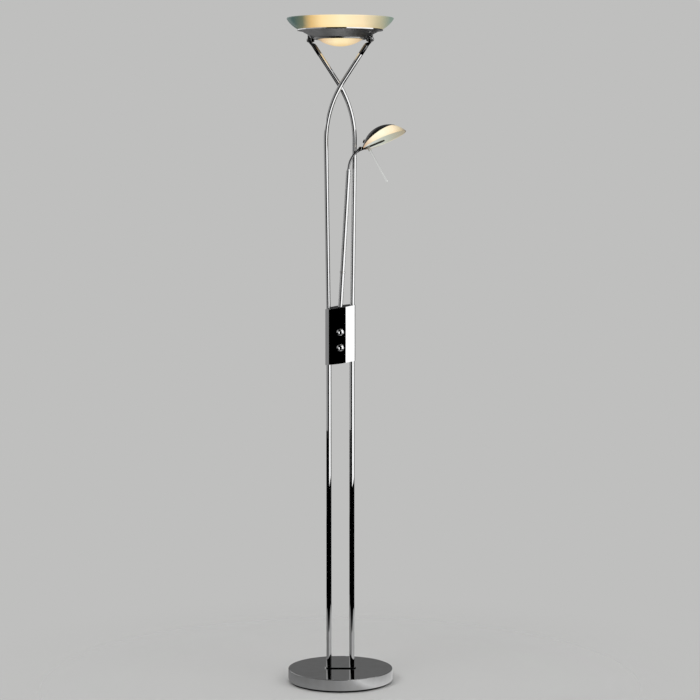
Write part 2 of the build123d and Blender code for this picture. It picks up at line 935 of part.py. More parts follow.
def neck_eye():
    half = hinge_eye_thickness / 2
    clear = hinge_eye_radius + 1.2
    along = Plane(origin=hinge_point(), z_dir=neck_direction())
    socket = along * bar(hinge_socket_radius, -hinge_socket_gap - hinge_socket_length, 0)
    socket -= at_hinge(bar(clear, half, 4 * half) + bar(clear, -4 * half, -half))
    eye = socket + at_hinge(bar(hinge_eye_radius, -half, half))
    eye -= along * bar(neck_radius + fit, -hinge_socket_gap - hinge_socket_length, -hinge_socket_gap)
    return eye - at_hinge(bar(hinge_screw_radius + fit, -20, 20))


def dome_sphere(extra=0.0):
    radius = (shade_radius**2 + shade_height**2) / (2 * shade_height)
    return Pos(0, 0, shade_height - radius) * Sphere(radius + extra)


def dome_wall(outer, inner):
    # The cap above the rim plane between two concentric spheres
    above = block(-big, big, -big, big, 0, big)
    wall = (dome_sphere(outer) - dome_sphere(inner)) & above
    return wall - block(-big, -shade_radius / 2, -notch_half_width, notch_half_width, -1, notch_height)


def dome_point(height):
    radius = (shade_radius**2 + shade_height**2) / (2 * shade_height)
    centre = shade_height - radius
    return Vector(-math.sqrt(radius**2 - (height - centre) ** 2), 0, height), Vector(0, 0, centre)


def at_shell_screw(solid):
    # Stands a solid made along Z on the glass dome's outside near the hinge, square to it.
    point, centre = dome_point(lug_height)
    return Plane(origin=point, x_dir=(0, 1, 0), z_dir=(point - centre).normalized()) * solid


def shell_screw(clearance=0.0):
    seat = shell_gap + shell_thickness
    length = shade_thickness + seat + 6.5 + clearance
    shank = bar(shell_screw_radius + clearance, seat - length, seat)
    head = bar(shell_screw_head_radius, seat, seat + shell_screw_head_height)
    return shank + fillet(head.edges().sort_by(Axis.Z)[-1], 1.0)


def reading_glass():
    glass = dome_wall(0, -shade_thickness)
    return reading_frame() * (glass - at_shell_screw(bar(shell_screw_radius + fit, -20, 20)))


def reading_shell():
    shell = dome_wall(shell_gap + shell_thickness, shell_gap)
    rise = math.tan(math.radians(shell_rise))
    pitch = math.tan(math.radians(shell_pitch))
    cut = Plane(origin=(-shade_radius, 0, 0), z_dir=(-rise, pitch, 1))
    shell = split(shell, cut, keep=Keep.TOP)
    return reading_frame() * (shell - at_shell_screw(bar(shell_screw_radius + fit, -20, 20)))


def tongue_outline(width, reach):
    half = width / 2
    end = reach - hinge_offset
    low = block(-hinge_offset + hinge_eye_radius + 2.4, end, -half, half, 0, 1)
    return low + bar(half, 0, 1, end)


def reading_tongue():
    top = tongue_thickness
    body = scaled_up(tongue_outline(tongue_width, tongue_reach), top - tongue_thickness, top)
    lip_width = tongue_width + 2 * tongue_lip
    lip = scaled_up(
        tongue_outline(lip_width, tongue_reach),
        top - tongue_thickness - tongue_lip_thickness,
        top - tongue_thickness,
    )
    lip -= block(-big, -shade_radius + shade_thickness, -big, big, -big, big)
    half = hinge_eye_thickness / 2 + cheek_gap
    outer = half + cheek_thickness
    ears = bar(hinge_eye_radius, -outer, outer) - bar(hinge_eye_radius + 1, -half, half)
    ears = Pos(-hinge_offset, 0, hinge_rise) * Rot(90, 0, 0) * ears
    arms = block(-hinge_offset, -hinge_offset + 12, half, outer, hinge_rise - 5, hinge_rise + 2)
    arms += block(-hinge_offset, -hinge_offset + 12, -outer, -half, hinge_rise - 5, hinge_rise + 2)
    arms -= Pos(-hinge_offset, 0, hinge_rise) * Rot(90, 0, 0) * bar(hinge_screw_radius, -20, 20)
    back = -capsule_holder_start - capsule_holder_length - 0.5
    lug = block(back - lug_length, back, -lug_width / 2, lug_width / 2, top - 1, shade_height)
    lug &= dome_sphere(-shade_thickness - 0.1)
    lug -= block(-big, big, -big, big, lug_height + 4.5, big)
    tongue = body + lip + arms + lug + ears
    tongue -= Pos(-hinge_offset, 0, hinge_rise) * Rot(90, 0, 0) * bar(hinge_screw_radius + fit, -20, 20)
    tongue -= at_shell_screw(shell_screw(fit))
    return reading_frame() * tongue


def scaled_up(layer, low, high):
    # A one millimetre layer stretched to lie between two heights
    face = layer.faces().sort_by(Axis.Z)[0]
    return Pos(0, 0, low) * extrude(face, high - low, dir=(0, 0, 1))


def reading_disc():
    disc = bar(shade_radius, 0, disc_thickness) & dome_sphere(-shade_thickness - disc_gap)
    slot = scaled_up(tongue_outline(tongue_width + 2 * disc_gap, tongue_reach + disc_gap), -1, disc_thickness + 1)
    half = tongue_width / 2 + disc_gap
    slot += block(-big, -shade_radius / 2, -half, half, -1, disc_thickness + 1)
    return reading_frame() * (disc - slot)


def hinge_screw():
    reach = hinge_eye_thickness / 2 + cheek_gap + cheek_thickness
    head = fillet(bar(hinge_head_radius, reach, reach + hinge_head_height).edges().sort_by(Axis.Z)[-1], 1.0)
    return at_hinge(bar(hinge_screw_radius, -reach, reach) + head)


def along_capsule(solid):
    # Lays a solid made along Z on the capsule's axis, with its top towards the far side.
    place = Pos(-capsule_holder_start, 0, tongue_thickness + capsule_axis_height)
    return reading_frame() * place * Rot(0, 90, 0) * solid


def capsule_holder():
    body = bar(capsule_holder_radius, -capsule_holder_length, 0)
    body -= bar(capsule_radius - 2 + 0.2, -6, 0)
    foot = block(0, capsule_axis_height, -6, 6, -capsule_holder_length, -6.5)
    return along_capsule(body + foot)


def capsule_lamp():
    glass = bar(capsule_radius, 0.3, capsule_length - capsule_radius)
    glass += Pos(0, 0, capsule_length - capsule_radius) * Sphere(capsule_radius)
    return along_capsule(glass + bar(capsule_radius - 2, -5.8, 1))


def handle_plane():
    sin_lean, cos_lean = heading(handle_lean)
    low = tongue_thickness - tongue_thickness - tongue_lip_thickness
    return reading_frame() * Plane(origin=(-hinge_offset + handle_place, 0, low), z_dir=(sin_lean, 0, -cos_lean))


def handle_socket():
    socket = handle_plane() * (
        bar(handle_socket_radius, -2, handle_socket_height)
        - bar(handle_radius + fit, handle_socket_height - handle_plug, handle_socket_height)
    )
    low = tongue_thickness - tongue_thickness - tongue_lip_thickness
    return socket - reading_frame() * block(-big, big, -big, big, low, big)


def handle():
    start = handle_socket_height - handle_plug
    rod = bar(handle_radius, start, start + handle_length)
    return handle_plane() * fillet(rod.edges().sort_by(Axis.Z)[-1], 1.0)


def write_parts():
    os.makedirs("parts", exist_ok=True)
    save("foot_ring", foot_ring())
    save("base_plate", base_plate())
    save("base_weight", base_weight())
    save("base_cover", base_cover())
    save("base_screws", *[place * base_screw() for place in screw_places()])
    save("cable_gland", cable_gland())
    save("foot_plate", foot_plate())
    save("threaded_nipples", *[nipple(side) for side in sides])
    save("base_washers", *[base_washer(side) for side in sides])
    save("base_nuts", *[base_nut(side) for side in sides])
    save("tube_inserts", *[tube_insert(side) for side in sides])
    save("lower_tube_left", lower_tube(-1))
    save("lower_tube_right", lower_tube(1))
    save("tube_joiners", tube_joiner(), other_side(tube_joiner()))
    save("upper_tube_left", upper_tube())
    save("upper_tube_right", other_side(upper_tube()))
    save("tube_end_right", tube_end())
    save("tube_end_left", other_side(tube_end()))

    save("clevis_right", clevis())
    save("clevis_left", other_side(clevis()))
    save("pivot_screws", pivot_screw(), other_side(pivot_screw()))
    save("pivot_nuts", pivot_nut(), other_side(pivot_nut()))
    save("bowl", bowl())
    save("dish_glass", dish_glass())
    save("lens_ring", lens_ring())
    save("lens_glass", lens_glass())
    save("lamp_strip", lamp_strip())
    save("lamp_bolts", *[lamp_bolt(side) for side in sides])
    save("lamp_nuts", *[lamp_nut(side) for side in sides])
    save("lampholders", *[lampholder(side) for side in sides])
    save("halogen_lamp", halogen_lamp())

    save("box_housing", box_housing())
    save("box_back_cover", box_back_cover())
    save("box_plate", box_plate())
    save("box_screws", *[at_box_screw(x, z, box_screw()) for x, z in box_screw_places()])
    for name, height in knob_heights().items():
        save(f"dimmer_{name}", dimmer(height))
        save(f"spindle_{name}", spindle(height))
        save(f"knob_{name}", knob(height))
    save("dimmer_nuts", *[dimmer_nut(height) for height in knob_heights().values()])

    save("arm_stub", arm_stub())
    save("arm_collar", arm_collar())
    save("arm_spigot", spigot())
    save("arm_ring", arm_ring())
    save("arm_tube", arm_tube())
    save("neck_bush", neck_bush())
    save("neck", neck())
    save("neck_eye", neck_eye())

    save("reading_tongue", reading_tongue())
    save("hinge_screw", hinge_screw())
    save("reading_disc", reading_disc())
    save("reading_glass", reading_glass())
    save("reading_shell", reading_shell())
    save("shell_screw", reading_frame() * at_shell_screw(shell_screw()))
    save("capsule_holder", capsule_holder())
    save("capsule_lamp", capsule_lamp())
    save("handle_socket", handle_socket())
    save("handle", handle())


write_parts()
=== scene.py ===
import math

import bmesh
import bpy
from mathutils import Matrix, Vector


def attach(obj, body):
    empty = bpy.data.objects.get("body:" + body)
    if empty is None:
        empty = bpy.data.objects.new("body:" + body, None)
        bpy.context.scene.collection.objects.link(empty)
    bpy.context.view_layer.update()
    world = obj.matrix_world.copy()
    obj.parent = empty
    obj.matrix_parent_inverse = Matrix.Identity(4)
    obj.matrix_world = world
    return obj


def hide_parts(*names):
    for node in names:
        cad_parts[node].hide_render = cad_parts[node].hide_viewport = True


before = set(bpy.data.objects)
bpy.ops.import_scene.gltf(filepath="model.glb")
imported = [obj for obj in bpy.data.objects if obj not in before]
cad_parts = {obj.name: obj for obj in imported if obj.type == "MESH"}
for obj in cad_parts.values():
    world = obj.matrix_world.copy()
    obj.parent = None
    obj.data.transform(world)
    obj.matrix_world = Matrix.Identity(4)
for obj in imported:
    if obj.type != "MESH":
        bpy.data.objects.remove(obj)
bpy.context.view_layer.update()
print("frame: loaded", len(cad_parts), "CAD nodes")

mm = 0.001
worldUp = Vector((0, 0, 1))
headPivot = 1742  # height of the axis that the lamp head tilts on, mm
sharpAngle = math.radians(32)  # edges that turn more than this are shown sharp


class Wire:  # one output of a shader node, which adds, takes away, multiplies and divides
    def __init__(self, finish, socket):
        self.finish = finish
        self.socket = socket

    def maths(self, operation, first, second):
        return self.finish.node("ShaderNodeMath", {"operation": operation}, {0: first, 1: second})

    def __add__(self, other):
        return self.maths("ADD", self, other)

    def __radd__(self, other):
        return self.maths("ADD", other, self)

    def __sub__(self, other):
        return self.maths("SUBTRACT", self, other)

    def __rsub__(self, other):
        return self.maths("SUBTRACT", other, self)

    def __mul__(self, other):
        return self.maths("MULTIPLY", self, other)

    def __rmul__(self, other):
        return self.maths("MULTIPLY", other, self)

    def __truediv__(self, other):
        return self.maths("DIVIDE", self, other)

    def __rtruediv__(self, other):
        return self.maths("DIVIDE", other, self)


class Finish:  # a material under construction
    def __init__(self, name):
        self.material = bpy.data.materials.new(name)
        self.material.use_nodes = True
        self.tree = self.material.node_tree
        self.tree.nodes.clear()
        self.output = self.tree.nodes.new("ShaderNodeOutputMaterial")

    def node(self, kind, settings=None, sockets=None, output=0):
        made = self.tree.nodes.new(kind)
        for key, value in (settings or {}).items():
            if key == "stops":
                self.setStops(made.color_ramp, value)
            else:
                setattr(made, key, value)
        for key, value in (sockets or {}).items():
            self.feed(made.inputs[key], value)
        return Wire(self, made.outputs[output])

    def feed(self, socket, value):
        if isinstance(value, Wire):
            self.tree.links.new(value.socket, socket)
        elif socket.type == "RGBA":
            socket.default_value = (*value[:3], 1.0)
        else:
            socket.default_value = value

    def setStops(self, ramp, stops):
        while len(ramp.elements) < len(stops):
            ramp.elements.new(0.5)
        for element, (position, colour) in zip(ramp.elements, stops):
            element.position = position
            element.color = (*colour[:3], 1.0)

    def place(self):
        return self.node("ShaderNodeTexCoord", output="Object")

    def noise(self, place, scale, detail=3.0, roughness=0.55):
        sockets = {"Vector": place, "Scale": scale, "Detail": detail, "Roughness": roughness}
        return self.node("ShaderNodeTexNoise", {}, sockets)

    def mixed(self, factor, first, second):
        return self.node("ShaderNodeMix", {"data_type": "RGBA"}, {0: factor, 6: first, 7: second}, 2)

    def along(self, place, origin, direction):  # metres from origin along direction
        shifted = self.node("ShaderNodeVectorMath", {"operation": "SUBTRACT"}, {0: place, 1: origin})
        return self.node("ShaderNodeVectorMath", {"operation": "DOT_PRODUCT"}, {0: shifted, 1: direction}, 1)

    def ranged(self, value, low, high, toLow=0.0, toHigh=1.0):
        sockets = {"Value": value, "From Min": low, "From Max": high, "To Min": toLow, "To Max": toHigh}
        return self.node("ShaderNodeMapRange", {"interpolation_type": "SMOOTHSTEP"}, sockets)

    def bump(self, height, strength, distance, under=None):
        sockets = {"Height": height, "Strength": strength, "Distance": distance}
        if under is not None:
            sockets["Normal"] = under
        return self.node("ShaderNodeBump", {}, sockets)

    def shade(self, sockets):
        shader = self.node("ShaderNodeBsdfPrincipled", {}, sockets)
        self.tree.links.new(shader.socket, self.output.inputs["Surface"])
        return self.material


def seen(red, green, blue):  # linear values of a colour as a screen shows it, each part from 0 to 255
    parts = [part / 255 for part in (red, green, blue)]
    return tuple(((part + 0.055) / 1.055) ** 2.4 if part > 0.04 else part / 12.92 for part in parts)


def ramp(*stops):  # stops are (position, red, green, blue)
    return [(position, seen(*colour)) for position, *colour in stops]


def faded(colour, share):
    return tuple(part * share for part in colour)


texture = {  # how many blotches to a metre
    "patches": 38.0, "spinning": 30.0, "ripple": 9.0, "grit": 500.0, "cloud": 22.0, "frost": 900.0,
    "smear": 60.0,
}


def metalFinish(name, bright, dull, smoothest, roughest, wobble, grain=0.0, metallic=1.0):
    finish = Finish(name)
    place = finish.place()
    patchy = finish.ranged(finish.noise(place, texture["patches"], 4.0), 0.35, 0.7)  # fingered and wiped
    normal = finish.bump(finish.noise(place, texture["ripple"], 1.0), wobble, 0.004)
    if grain:  # the tooth of a turned or zinc plated skin
        normal = finish.bump(finish.noise(place, texture["grit"], 2.0), grain, 0.0002, normal)
    return finish.shade({
        "Base Color": finish.mixed(patchy, bright, dull), "Metallic": metallic,
        "Roughness": patchy * (roughest - smoothest) + smoothest, "Normal": normal,
    })


def spunFinish(name, bright, dull, low, high, satin, polished):  # satin below the rim and polished on it
    finish = Finish(name)
    place = finish.place()
    patchy = finish.ranged(finish.noise(place, texture["spinning"], 4.0), 0.3, 0.7)
    rim = finish.ranged(finish.along(place, (0, 0, headPivot * mm), worldUp), low, high)
    return finish.shade({
        "Base Color": finish.mixed(patchy, bright, dull), "Metallic": 1.0,
        "Roughness": satin + patchy * 0.03 - rim * (satin - polished),
        "Normal": finish.bump(finish.noise(place, texture["ripple"], 1.0), 0.02, 0.004),
    })


def plainFinish(name, light, dark, roughness, scale, depth, metallic=0.0):
    finish = Finish(name)
    place = finish.place()
    mottle = finish.noise(place, scale, 5.0, 0.6)
    fine = finish.noise(place, scale * 9, 3.0)
    colour = finish.mixed(finish.ranged(mottle, 0.3, 0.7), dark, light)
    return finish.shade({
        "Base Color": colour, "Metallic": metallic, "Roughness": mottle * 0.2 + (roughness - 0.1),
        "Normal": finish.bump(fine, 0.35, depth),
    })


def glowingGlass(name, origin, direction, reach, stops, low, high, shadow, body, lift=worldUp, gloss=0.25):
    # opal glass lit from inside: the glow runs along the lamp and falls towards the rim
    finish = Finish(name)
    place = finish.place()
    cloud = finish.noise(place, texture["cloud"], 3.0)
    across = finish.along(place, origin, direction) / (2 * reach) + 0.5 + (cloud - 0.5) * 0.05
    glow = finish.node("ShaderNodeValToRGB", {"stops": stops}, {0: across})
    edge = finish.ranged(finish.along(place, origin, lift) + (cloud - 0.5) * 0.004, low, high)
    lit = finish.mixed(edge, shadow, (1.0, 1.0, 1.0))
    blend = {"data_type": "RGBA", "blend_type": "MULTIPLY"}
    warmth = finish.node("ShaderNodeMix", blend, {0: 1.0, 6: glow, 7: lit}, 2)
    frost = finish.noise(place, texture["frost"], 2.0)
    return finish.shade({
        "Base Color": finish.mixed(cloud, body, faded(body, 0.8)), "Roughness": frost * 0.1 + 0.22,
        "Emission Color": warmth, "Emission Strength": 1.0, "Specular IOR Level": 0.3,
        "Normal": finish.bump(frost, 0.03, 0.0002), "Coat Weight": gloss, "Coat Roughness": 0.05,
    })


def clearFinish(name, tint, glow=None, strength=0.0):
    finish = Finish(name)
    smear = finish.noise(finish.place(), texture["smear"], 3.0)
    sockets = {
        "Base Color": finish.mixed(smear, tint, faded(tint, 0.94)), "Roughness": smear * 0.05 + 0.01,
        "Transmission Weight": 1.0, "IOR": 1.48, "Normal": finish.bump(smear, 0.06, 0.001),
    }
    if glow:
        sockets["Emission Color"] = finish.mixed(smear, glow, faded(glow, 0.9))
        sockets["Emission Strength"] = strength
    return finish.shade(sockets)


reading = {  # the reading head's own frame, mm
    "origin": Vector((118.821, -12.4486, 1475.79)),
    "x": Vector((0.92388, 0.0, 0.382683)),
    "y": Vector((0.057225, 0.988756, -0.138153)),
    "z": Vector((-0.378381, 0.149535, 0.913492)),
}

dishGlow = ramp(
    (0.08, 44, 74, 70), (0.16, 98, 104, 80), (0.24, 222, 184, 118), (0.34, 255, 224, 164),
    (0.52, 255, 240, 194), (0.7, 250, 226, 182), (0.85, 190, 180, 146), (0.96, 124, 142, 130))
lensGlow = ramp(
    (0.04, 124, 124, 116), (0.16, 225, 192, 150), (0.4, 255, 234, 185), (0.62, 255, 232, 182),
    (0.86, 228, 198, 158), (0.98, 138, 138, 128))
domeGlow = ramp(
    (0.1, 210, 180, 150), (0.28, 255, 240, 210), (0.5, 250, 247, 217), (0.72, 255, 232, 194),
    (0.86, 206, 190, 154), (0.96, 128, 120, 113))
discGlow = ramp((0.06, 205, 208, 204), (0.3, 200, 205, 196), (0.6, 180, 183, 168), (0.92, 166, 156, 132))
headMiddle, readingMiddle = (0, 0, headPivot * mm), reading["origin"] * mm
chromeTones = ((0.83, 0.835, 0.84), (0.79, 0.79, 0.785))

finishes = {
    "chrome": metalFinish("polishedChrome", *chromeTones, 0.012, 0.04, 0.012),
    "black_chrome": metalFinish("blackChrome", (0.34, 0.34, 0.345), (0.28, 0.28, 0.28), 0.02, 0.06, 0.012),
    "handle_fitting": metalFinish(
        "satinFitting", (0.8, 0.78, 0.7), (0.7, 0.68, 0.6), 0.3, 0.4, 0.02, grain=0.05, metallic=0.2),
    "plain_steel": metalFinish("zincSteel", (0.62, 0.62, 0.61), (0.46, 0.46, 0.45), 0.25, 0.42, 0.02, 0.2),
    "aluminium": metalFinish(
        "turnedAluminium", (0.75, 0.75, 0.76), (0.62, 0.62, 0.63), 0.2, 0.36, 0.02, grain=0.15),
    "brass": metalFinish("turnedBrass", (0.78, 0.61, 0.32), (0.58, 0.43, 0.2), 0.16, 0.34, 0.02, 0.15),
    "cast_iron": plainFinish("castIron", (0.2, 0.195, 0.19), (0.1, 0.095, 0.09), 0.75, 120.0, 0.0008, 0.6),
    "black_steel": plainFinish("blackPaint", (0.04, 0.04, 0.041), (0.022, 0.022, 0.022), 0.45, 300.0, 0.0003),
    "black_plastic": plainFinish(
        "mouldedPlastic", (0.03, 0.03, 0.031), (0.018, 0.018, 0.018), 0.42, 500.0, 0.0002),
    "rubber": plainFinish("footRubber", (0.009, 0.009, 0.009), (0.004, 0.004, 0.004), 0.85, 260.0, 0.0004),
    "ceramic": plainFinish("lampCeramic", (0.84, 0.81, 0.75), (0.7, 0.67, 0.61), 0.6, 160.0, 0.0004),
    "clear_glass": clearFinish("clearGlass", (0.86, 0.89, 0.87)),
    "opal_glass": glowingGlass(
        "opalDish", headMiddle, (1, 0, 0), 0.147, dishGlow, 0.020, 0.036,
        shadow=(1.0, 0.92, 0.78), body=(0.05, 0.06, 0.055)),
}
lensOpal = glowingGlass(
    "opalLens", headMiddle, (1, 0, 0), 0.067, lensGlow, -0.018, -0.008,
    shadow=(0.9, 0.8, 0.66), body=(0.09, 0.09, 0.08))
domeOpal = glowingGlass(
    "opalDome", readingMiddle, reading["x"], 0.066, domeGlow, -0.002, 0.01,
    shadow=(0.95, 0.9, 0.82), body=(0.08, 0.08, 0.075), lift=reading["z"])
discOpal = glowingGlass(
    "opalDisc", readingMiddle, reading["x"], 0.062, discGlow, -0.03, -0.02,
    shadow=(1.0, 1.0, 1.0), body=(0.07, 0.07, 0.065), gloss=0.0)
lampGlass = clearFinish("lampQuartz", (0.94, 0.93, 0.9), (1.0, 0.84, 0.6), 0.12)
# the handle rod's faint glow is painted light, for the lamp's light that the rod carries
rodAcrylic = clearFinish("rodAcrylic", (0.97, 0.98, 0.97), (0.9, 0.92, 0.9), 0.06)
filamentGlow = clearFinish("filamentGlow", (1.0, 0.9, 0.7), (1.0, 0.86, 0.6), 3.0)
shellBlack = metalFinish("shellBlack", (0.035, 0.035, 0.036), (0.02, 0.02, 0.02), 0.05, 0.12, 0.012)
# the chrome tongue is given a dark olive colour: painted shade, for the shadow it sits in under the lit disc
tonguePaintedShade = metalFinish("tonguePaintedShade", (0.12, 0.12, 0.095), (0.08, 0.08, 0.06), 0.16, 0.26, 0.012)
ringDark = metalFinish("ringDark", (0.34, 0.34, 0.33), (0.26, 0.26, 0.26), 0.2, 0.3, 0.012)
bowlChrome = spunFinish("bowlChrome", (0.8, 0.8, 0.805), (0.7, 0.7, 0.7), 0.0225, 0.0238, 0.3, 0.06)
plateChrome = metalFinish("plateChrome", *chromeTones, 0.012, 0.03, 0.05)
endChrome = metalFinish("endChrome", (0.16, 0.16, 0.165), (0.1, 0.1, 0.1), 0.05, 0.12, 0.012)
print("materials:", len(bpy.data.materials))


def inScene(name, data):  # a new object, linked to the scene
    made = bpy.data.objects.new(name, data)
    bpy.context.scene.collection.objects.link(made)
    return made


def finished(name, mesh, body, slot, nodes, material=None):
    mesh.polygons.foreach_set("use_smooth", [True] * len(mesh.polygons))
    mesh.set_sharp_from_angle(angle=sharpAngle)
    mesh.materials.clear()
    mesh.materials.append(material or finishes[slot])
    piece = inScene(name, mesh)
    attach(piece, body)
    if nodes:
        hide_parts(*nodes)
    return piece


def filleted(corners, steps=5):  # corners are (radius, height) or (radius, height, fillet), round a section
    points = []
    count = len(corners)
    for index, corner in enumerate(corners):
        here = Vector(corner[:2])
        fillet = corner[2] if len(corner) > 2 else 0
        if not fillet:
            points.append(here)
            continue
        back = (Vector(corners[index - 1][:2]) - here).normalized()
        ahead = (Vector(corners[(index + 1) % count][:2]) - here).normalized()
        half = back.angle(ahead) / 2
        inset = fillet / math.tan(half)
        centre = here + (back + ahead).normalized() * fillet / math.sin(half)
        start, end = here + back * inset - centre, here + ahead * inset - centre
        turn = start.angle_signed(end)
        for step in range(steps + 1):
            points.append(centre + Matrix.Rotation(-turn * step / steps, 2) @ start)
    return points


def bowed(start, end, radius, steps):  # points of an arc from start to end that bulges to the right
    start, end = Vector(start), Vector(end)
    chord = end - start
    away = Vector((-chord.y, chord.x)).normalized()
    centre = (start + end) / 2 + away * math.sqrt(abs(radius) ** 2 - chord.length_squared / 4)
    first = start - centre
    turn = first.angle_signed(end - centre)
    return [tuple(centre + Matrix.Rotation(-turn * step / steps, 2) @ first) for step in range(steps + 1)]


def guarded(section, guard=0.3):  # rings close to the ends of long straight runs, which keep flat faces flat
    points = []
    for here, there in zip(section, section[1:] + section[:1]):
        here, there = Vector(here), Vector(there)
        run = there - here
        points.append(tuple(here))
        if run.length > 4 * guard:
            points += [tuple(here + run.normalized() * guard), tuple(there - run.normalized() * guard)]
    return points


def meshOf(form, name):
    mesh = bpy.data.meshes.new(name)
    form.to_mesh(mesh)
    form.free()
    return mesh


def ringPoints(radius, height, turns):
    angles = [2 * math.pi * step / turns for step in range(turns)]
    return [(radius * mm * math.cos(a), radius * mm * math.sin(a), height * mm) for a in angles]


def skinned(form, rings):  # faces between rings of vertices, where a ring of one vertex is a pole
    turns = max(len(ring) for ring in rings)
    for near, far in zip(rings, rings[1:]):
        for step in range(turns):
            after = (step + 1) % turns
            corners = [near[step % len(near)], near[after % len(near)]]
            corners += [far[after % len(far)], far[step % len(far)]]
            corners = list(dict.fromkeys(corners))
            if len(corners) > 2:
                form.faces.new(corners)


def lathe(section, turns, stand=None):  # a closed (radius, height) section turned about the height axis
    area = sum(a[0] * b[1] - b[0] * a[1] for a, b in zip(section, section[1:] + section[:1]))
    if area < 0:
        section = section[::-1]
    form = bmesh.new()
    rings = []
    for radius, height in guarded(section):
        points = ringPoints(radius, height, turns) if radius > 1e-6 else [(0, 0, height * mm)]
        rings.append([form.verts.new(point) for point in points])
    skinned(form, rings + rings[:1])
    mesh = meshOf(form, "turned")
    if stand:
        mesh.transform(stand)
    return mesh


def placing(origin, x, y, z):  # a frame's matrix, from mm
    turn = Matrix((x, y, z)).transposed().to_4x4()
    return Matrix.Translation(Vector(origin) * mm) @ turn


def about(origin, axis):  # the frame of a turned piece standing on origin, its height along axis
    axis = Vector(axis).normalized()
    turn = worldUp.rotation_difference(axis).to_matrix().to_4x4()
    return Matrix.Translation(Vector(origin) * mm) @ turn


def smoothed(node, curved=False):  # a copy of a CAD node with its edges joined, so that it shades as one skin
    form = bmesh.new()
    form.from_mesh(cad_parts[node].data)
    bmesh.ops.remove_doubles(form, verts=form.verts, dist=2e-6)
    if not curved:
        bmesh.ops.dissolve_limit(form, angle_limit=math.radians(0.6), verts=form.verts, edges=form.edges)
    return meshOf(form, node + "Skin")


def lofted(rings):  # closed rings of points in mm, each with the same count, capped at both ends
    form = bmesh.new()
    rows = [[form.verts.new(Vector(point) * mm) for point in ring] for ring in rings]
    skinned(form, rows)
    form.faces.new(rows[0][::-1])
    form.faces.new(rows[-1])
    bmesh.ops.recalc_face_normals(form, faces=form.faces)
    return meshOf(form, "lofted")


def modified(mesh, kind, settings, inputs=None):  # the plain mesh that one modifier leaves
    carrier = inScene("carrier", mesh)
    modifier = carrier.modifiers.new("shape", kind)
    for key, value in settings.items():
        setattr(modifier, key, value)
    for identifier, value in (inputs or {}).items():
        modifier[identifier] = value
    shown = carrier.evaluated_get(bpy.context.evaluated_depsgraph_get())
    result = bpy.data.meshes.new_from_object(shown)
    carrier.modifiers.clear()
    bpy.data.objects.remove(carrier)
    return result


def eased(mesh, width):  # the mesh with its sharp edges rounded over
    settings = {"width": width * mm, "segments": 3, "limit_method": "ANGLE", "angle_limit": sharpAngle}
    return modified(mesh, "BEVEL", settings)


def grown(tree, mesh, values):  # the plain mesh that a Geometry Nodes tree makes from a mesh
    sockets = [item for item in tree.interface.items_tree if item.in_out == "INPUT" and item.name in values]
    inputs = {socket.identifier: values[socket.name] for socket in sockets}
    return modified(mesh, "NODES", {"node_group": tree}, inputs)


def shapeTree(name, inputs, kinds, constants, links):
    # a Geometry Nodes tree from its named inputs, its nodes, their fixed sockets and its links
    tree = bpy.data.node_groups.new(name, "GeometryNodeTree")
    for socket, kind in inputs.items():
        tree.interface.new_socket(socket, in_out="INPUT", socket_type="NodeSocket" + kind)
    tree.interface.new_socket("Shape", in_out="OUTPUT", socket_type="NodeSocketGeometry")
    nodes = {"given": tree.nodes.new("NodeGroupInput"), "result": tree.nodes.new("NodeGroupOutput")}
    kinds = {**kinds, "real": "RealizeInstances", "paint": "SetMaterial"}
    for key, kind in kinds.items():
        nodes[key] = tree.nodes.new("GeometryNode" + kind)
    for key, socket, value in constants:
        nodes[key].inputs[socket].default_value = value
    links += (
        ("real", "Geometry", "paint", "Geometry"), ("given", "Finish", "paint", "Material"),
        ("paint", "Geometry", "result", "Shape"),
    )
    for start, startSocket, end, endSocket in links:
        tree.links.new(nodes[start].outputs[startSocket], nodes[end].inputs[endSocket])
    return tree


tubeOnPath = shapeTree(  # a round tube or rod that follows a path of edges
    "tubeOnPath", {"Path": "Geometry", "Radius": "Float", "Sides": "Int", "Finish": "Material"},
    {"path": "MeshToCurve", "ring": "CurvePrimitiveCircle", "sweep": "CurveToMesh"},
    (("sweep", "Fill Caps", True),),
    (
        ("given", "Path", "path", "Mesh"), ("path", "Curve", "sweep", "Curve"),
        ("given", "Radius", "ring", "Radius"), ("given", "Sides", "ring", "Resolution"),
        ("ring", "Curve", "sweep", "Profile Curve"), ("sweep", "Mesh", "real", "Geometry"),
    ))
screwOnPoints = shapeTree(  # the same screw on every point
    "screwOnPoints",
    {"Points": "Geometry", "Screw": "Object", "Turn": "Vector", "Size": "Float", "Finish": "Material"},
    {"pattern": "ObjectInfo", "spread": "InstanceOnPoints"},
    (),
    (
        ("given", "Points", "spread", "Points"), ("given", "Screw", "pattern", "Object"),
        ("pattern", "Geometry", "spread", "Instance"), ("given", "Turn", "spread", "Rotation"),
        ("given", "Size", "spread", "Scale"), ("spread", "Instances", "real", "Geometry"),
    ))


def pathMesh(points):
    mesh = bpy.data.meshes.new("path")
    mesh.from_pydata([Vector(p) * mm for p in points], [(i, i + 1) for i in range(len(points) - 1)], [])
    return mesh


def tube(points, radius, slot, sides=64):
    values = {"Radius": radius * mm, "Sides": sides, "Finish": finishes[slot]}
    return grown(tubeOnPath, pathMesh(points), values)


screwTurns = 36


def screwForm(rings):  # rings of (radius, height, sides) from the socket's floor round to the shank's end
    form = bmesh.new()
    rows = []
    for radius, height, sides in rings:
        row = []
        for step in range(screwTurns if radius else 1):
            angle = 2 * math.pi * step / screwTurns
            flat = math.cos(angle % (2 * math.pi / sides) - math.pi / sides) if sides else 1
            reach = radius * mm / flat
            row.append(form.verts.new((reach * math.cos(angle), reach * math.sin(angle), height * mm)))
        rows.append(row)
    skinned(form, rows)
    bmesh.ops.recalc_face_normals(form, faces=form.faces)
    return meshOf(form, "screw")


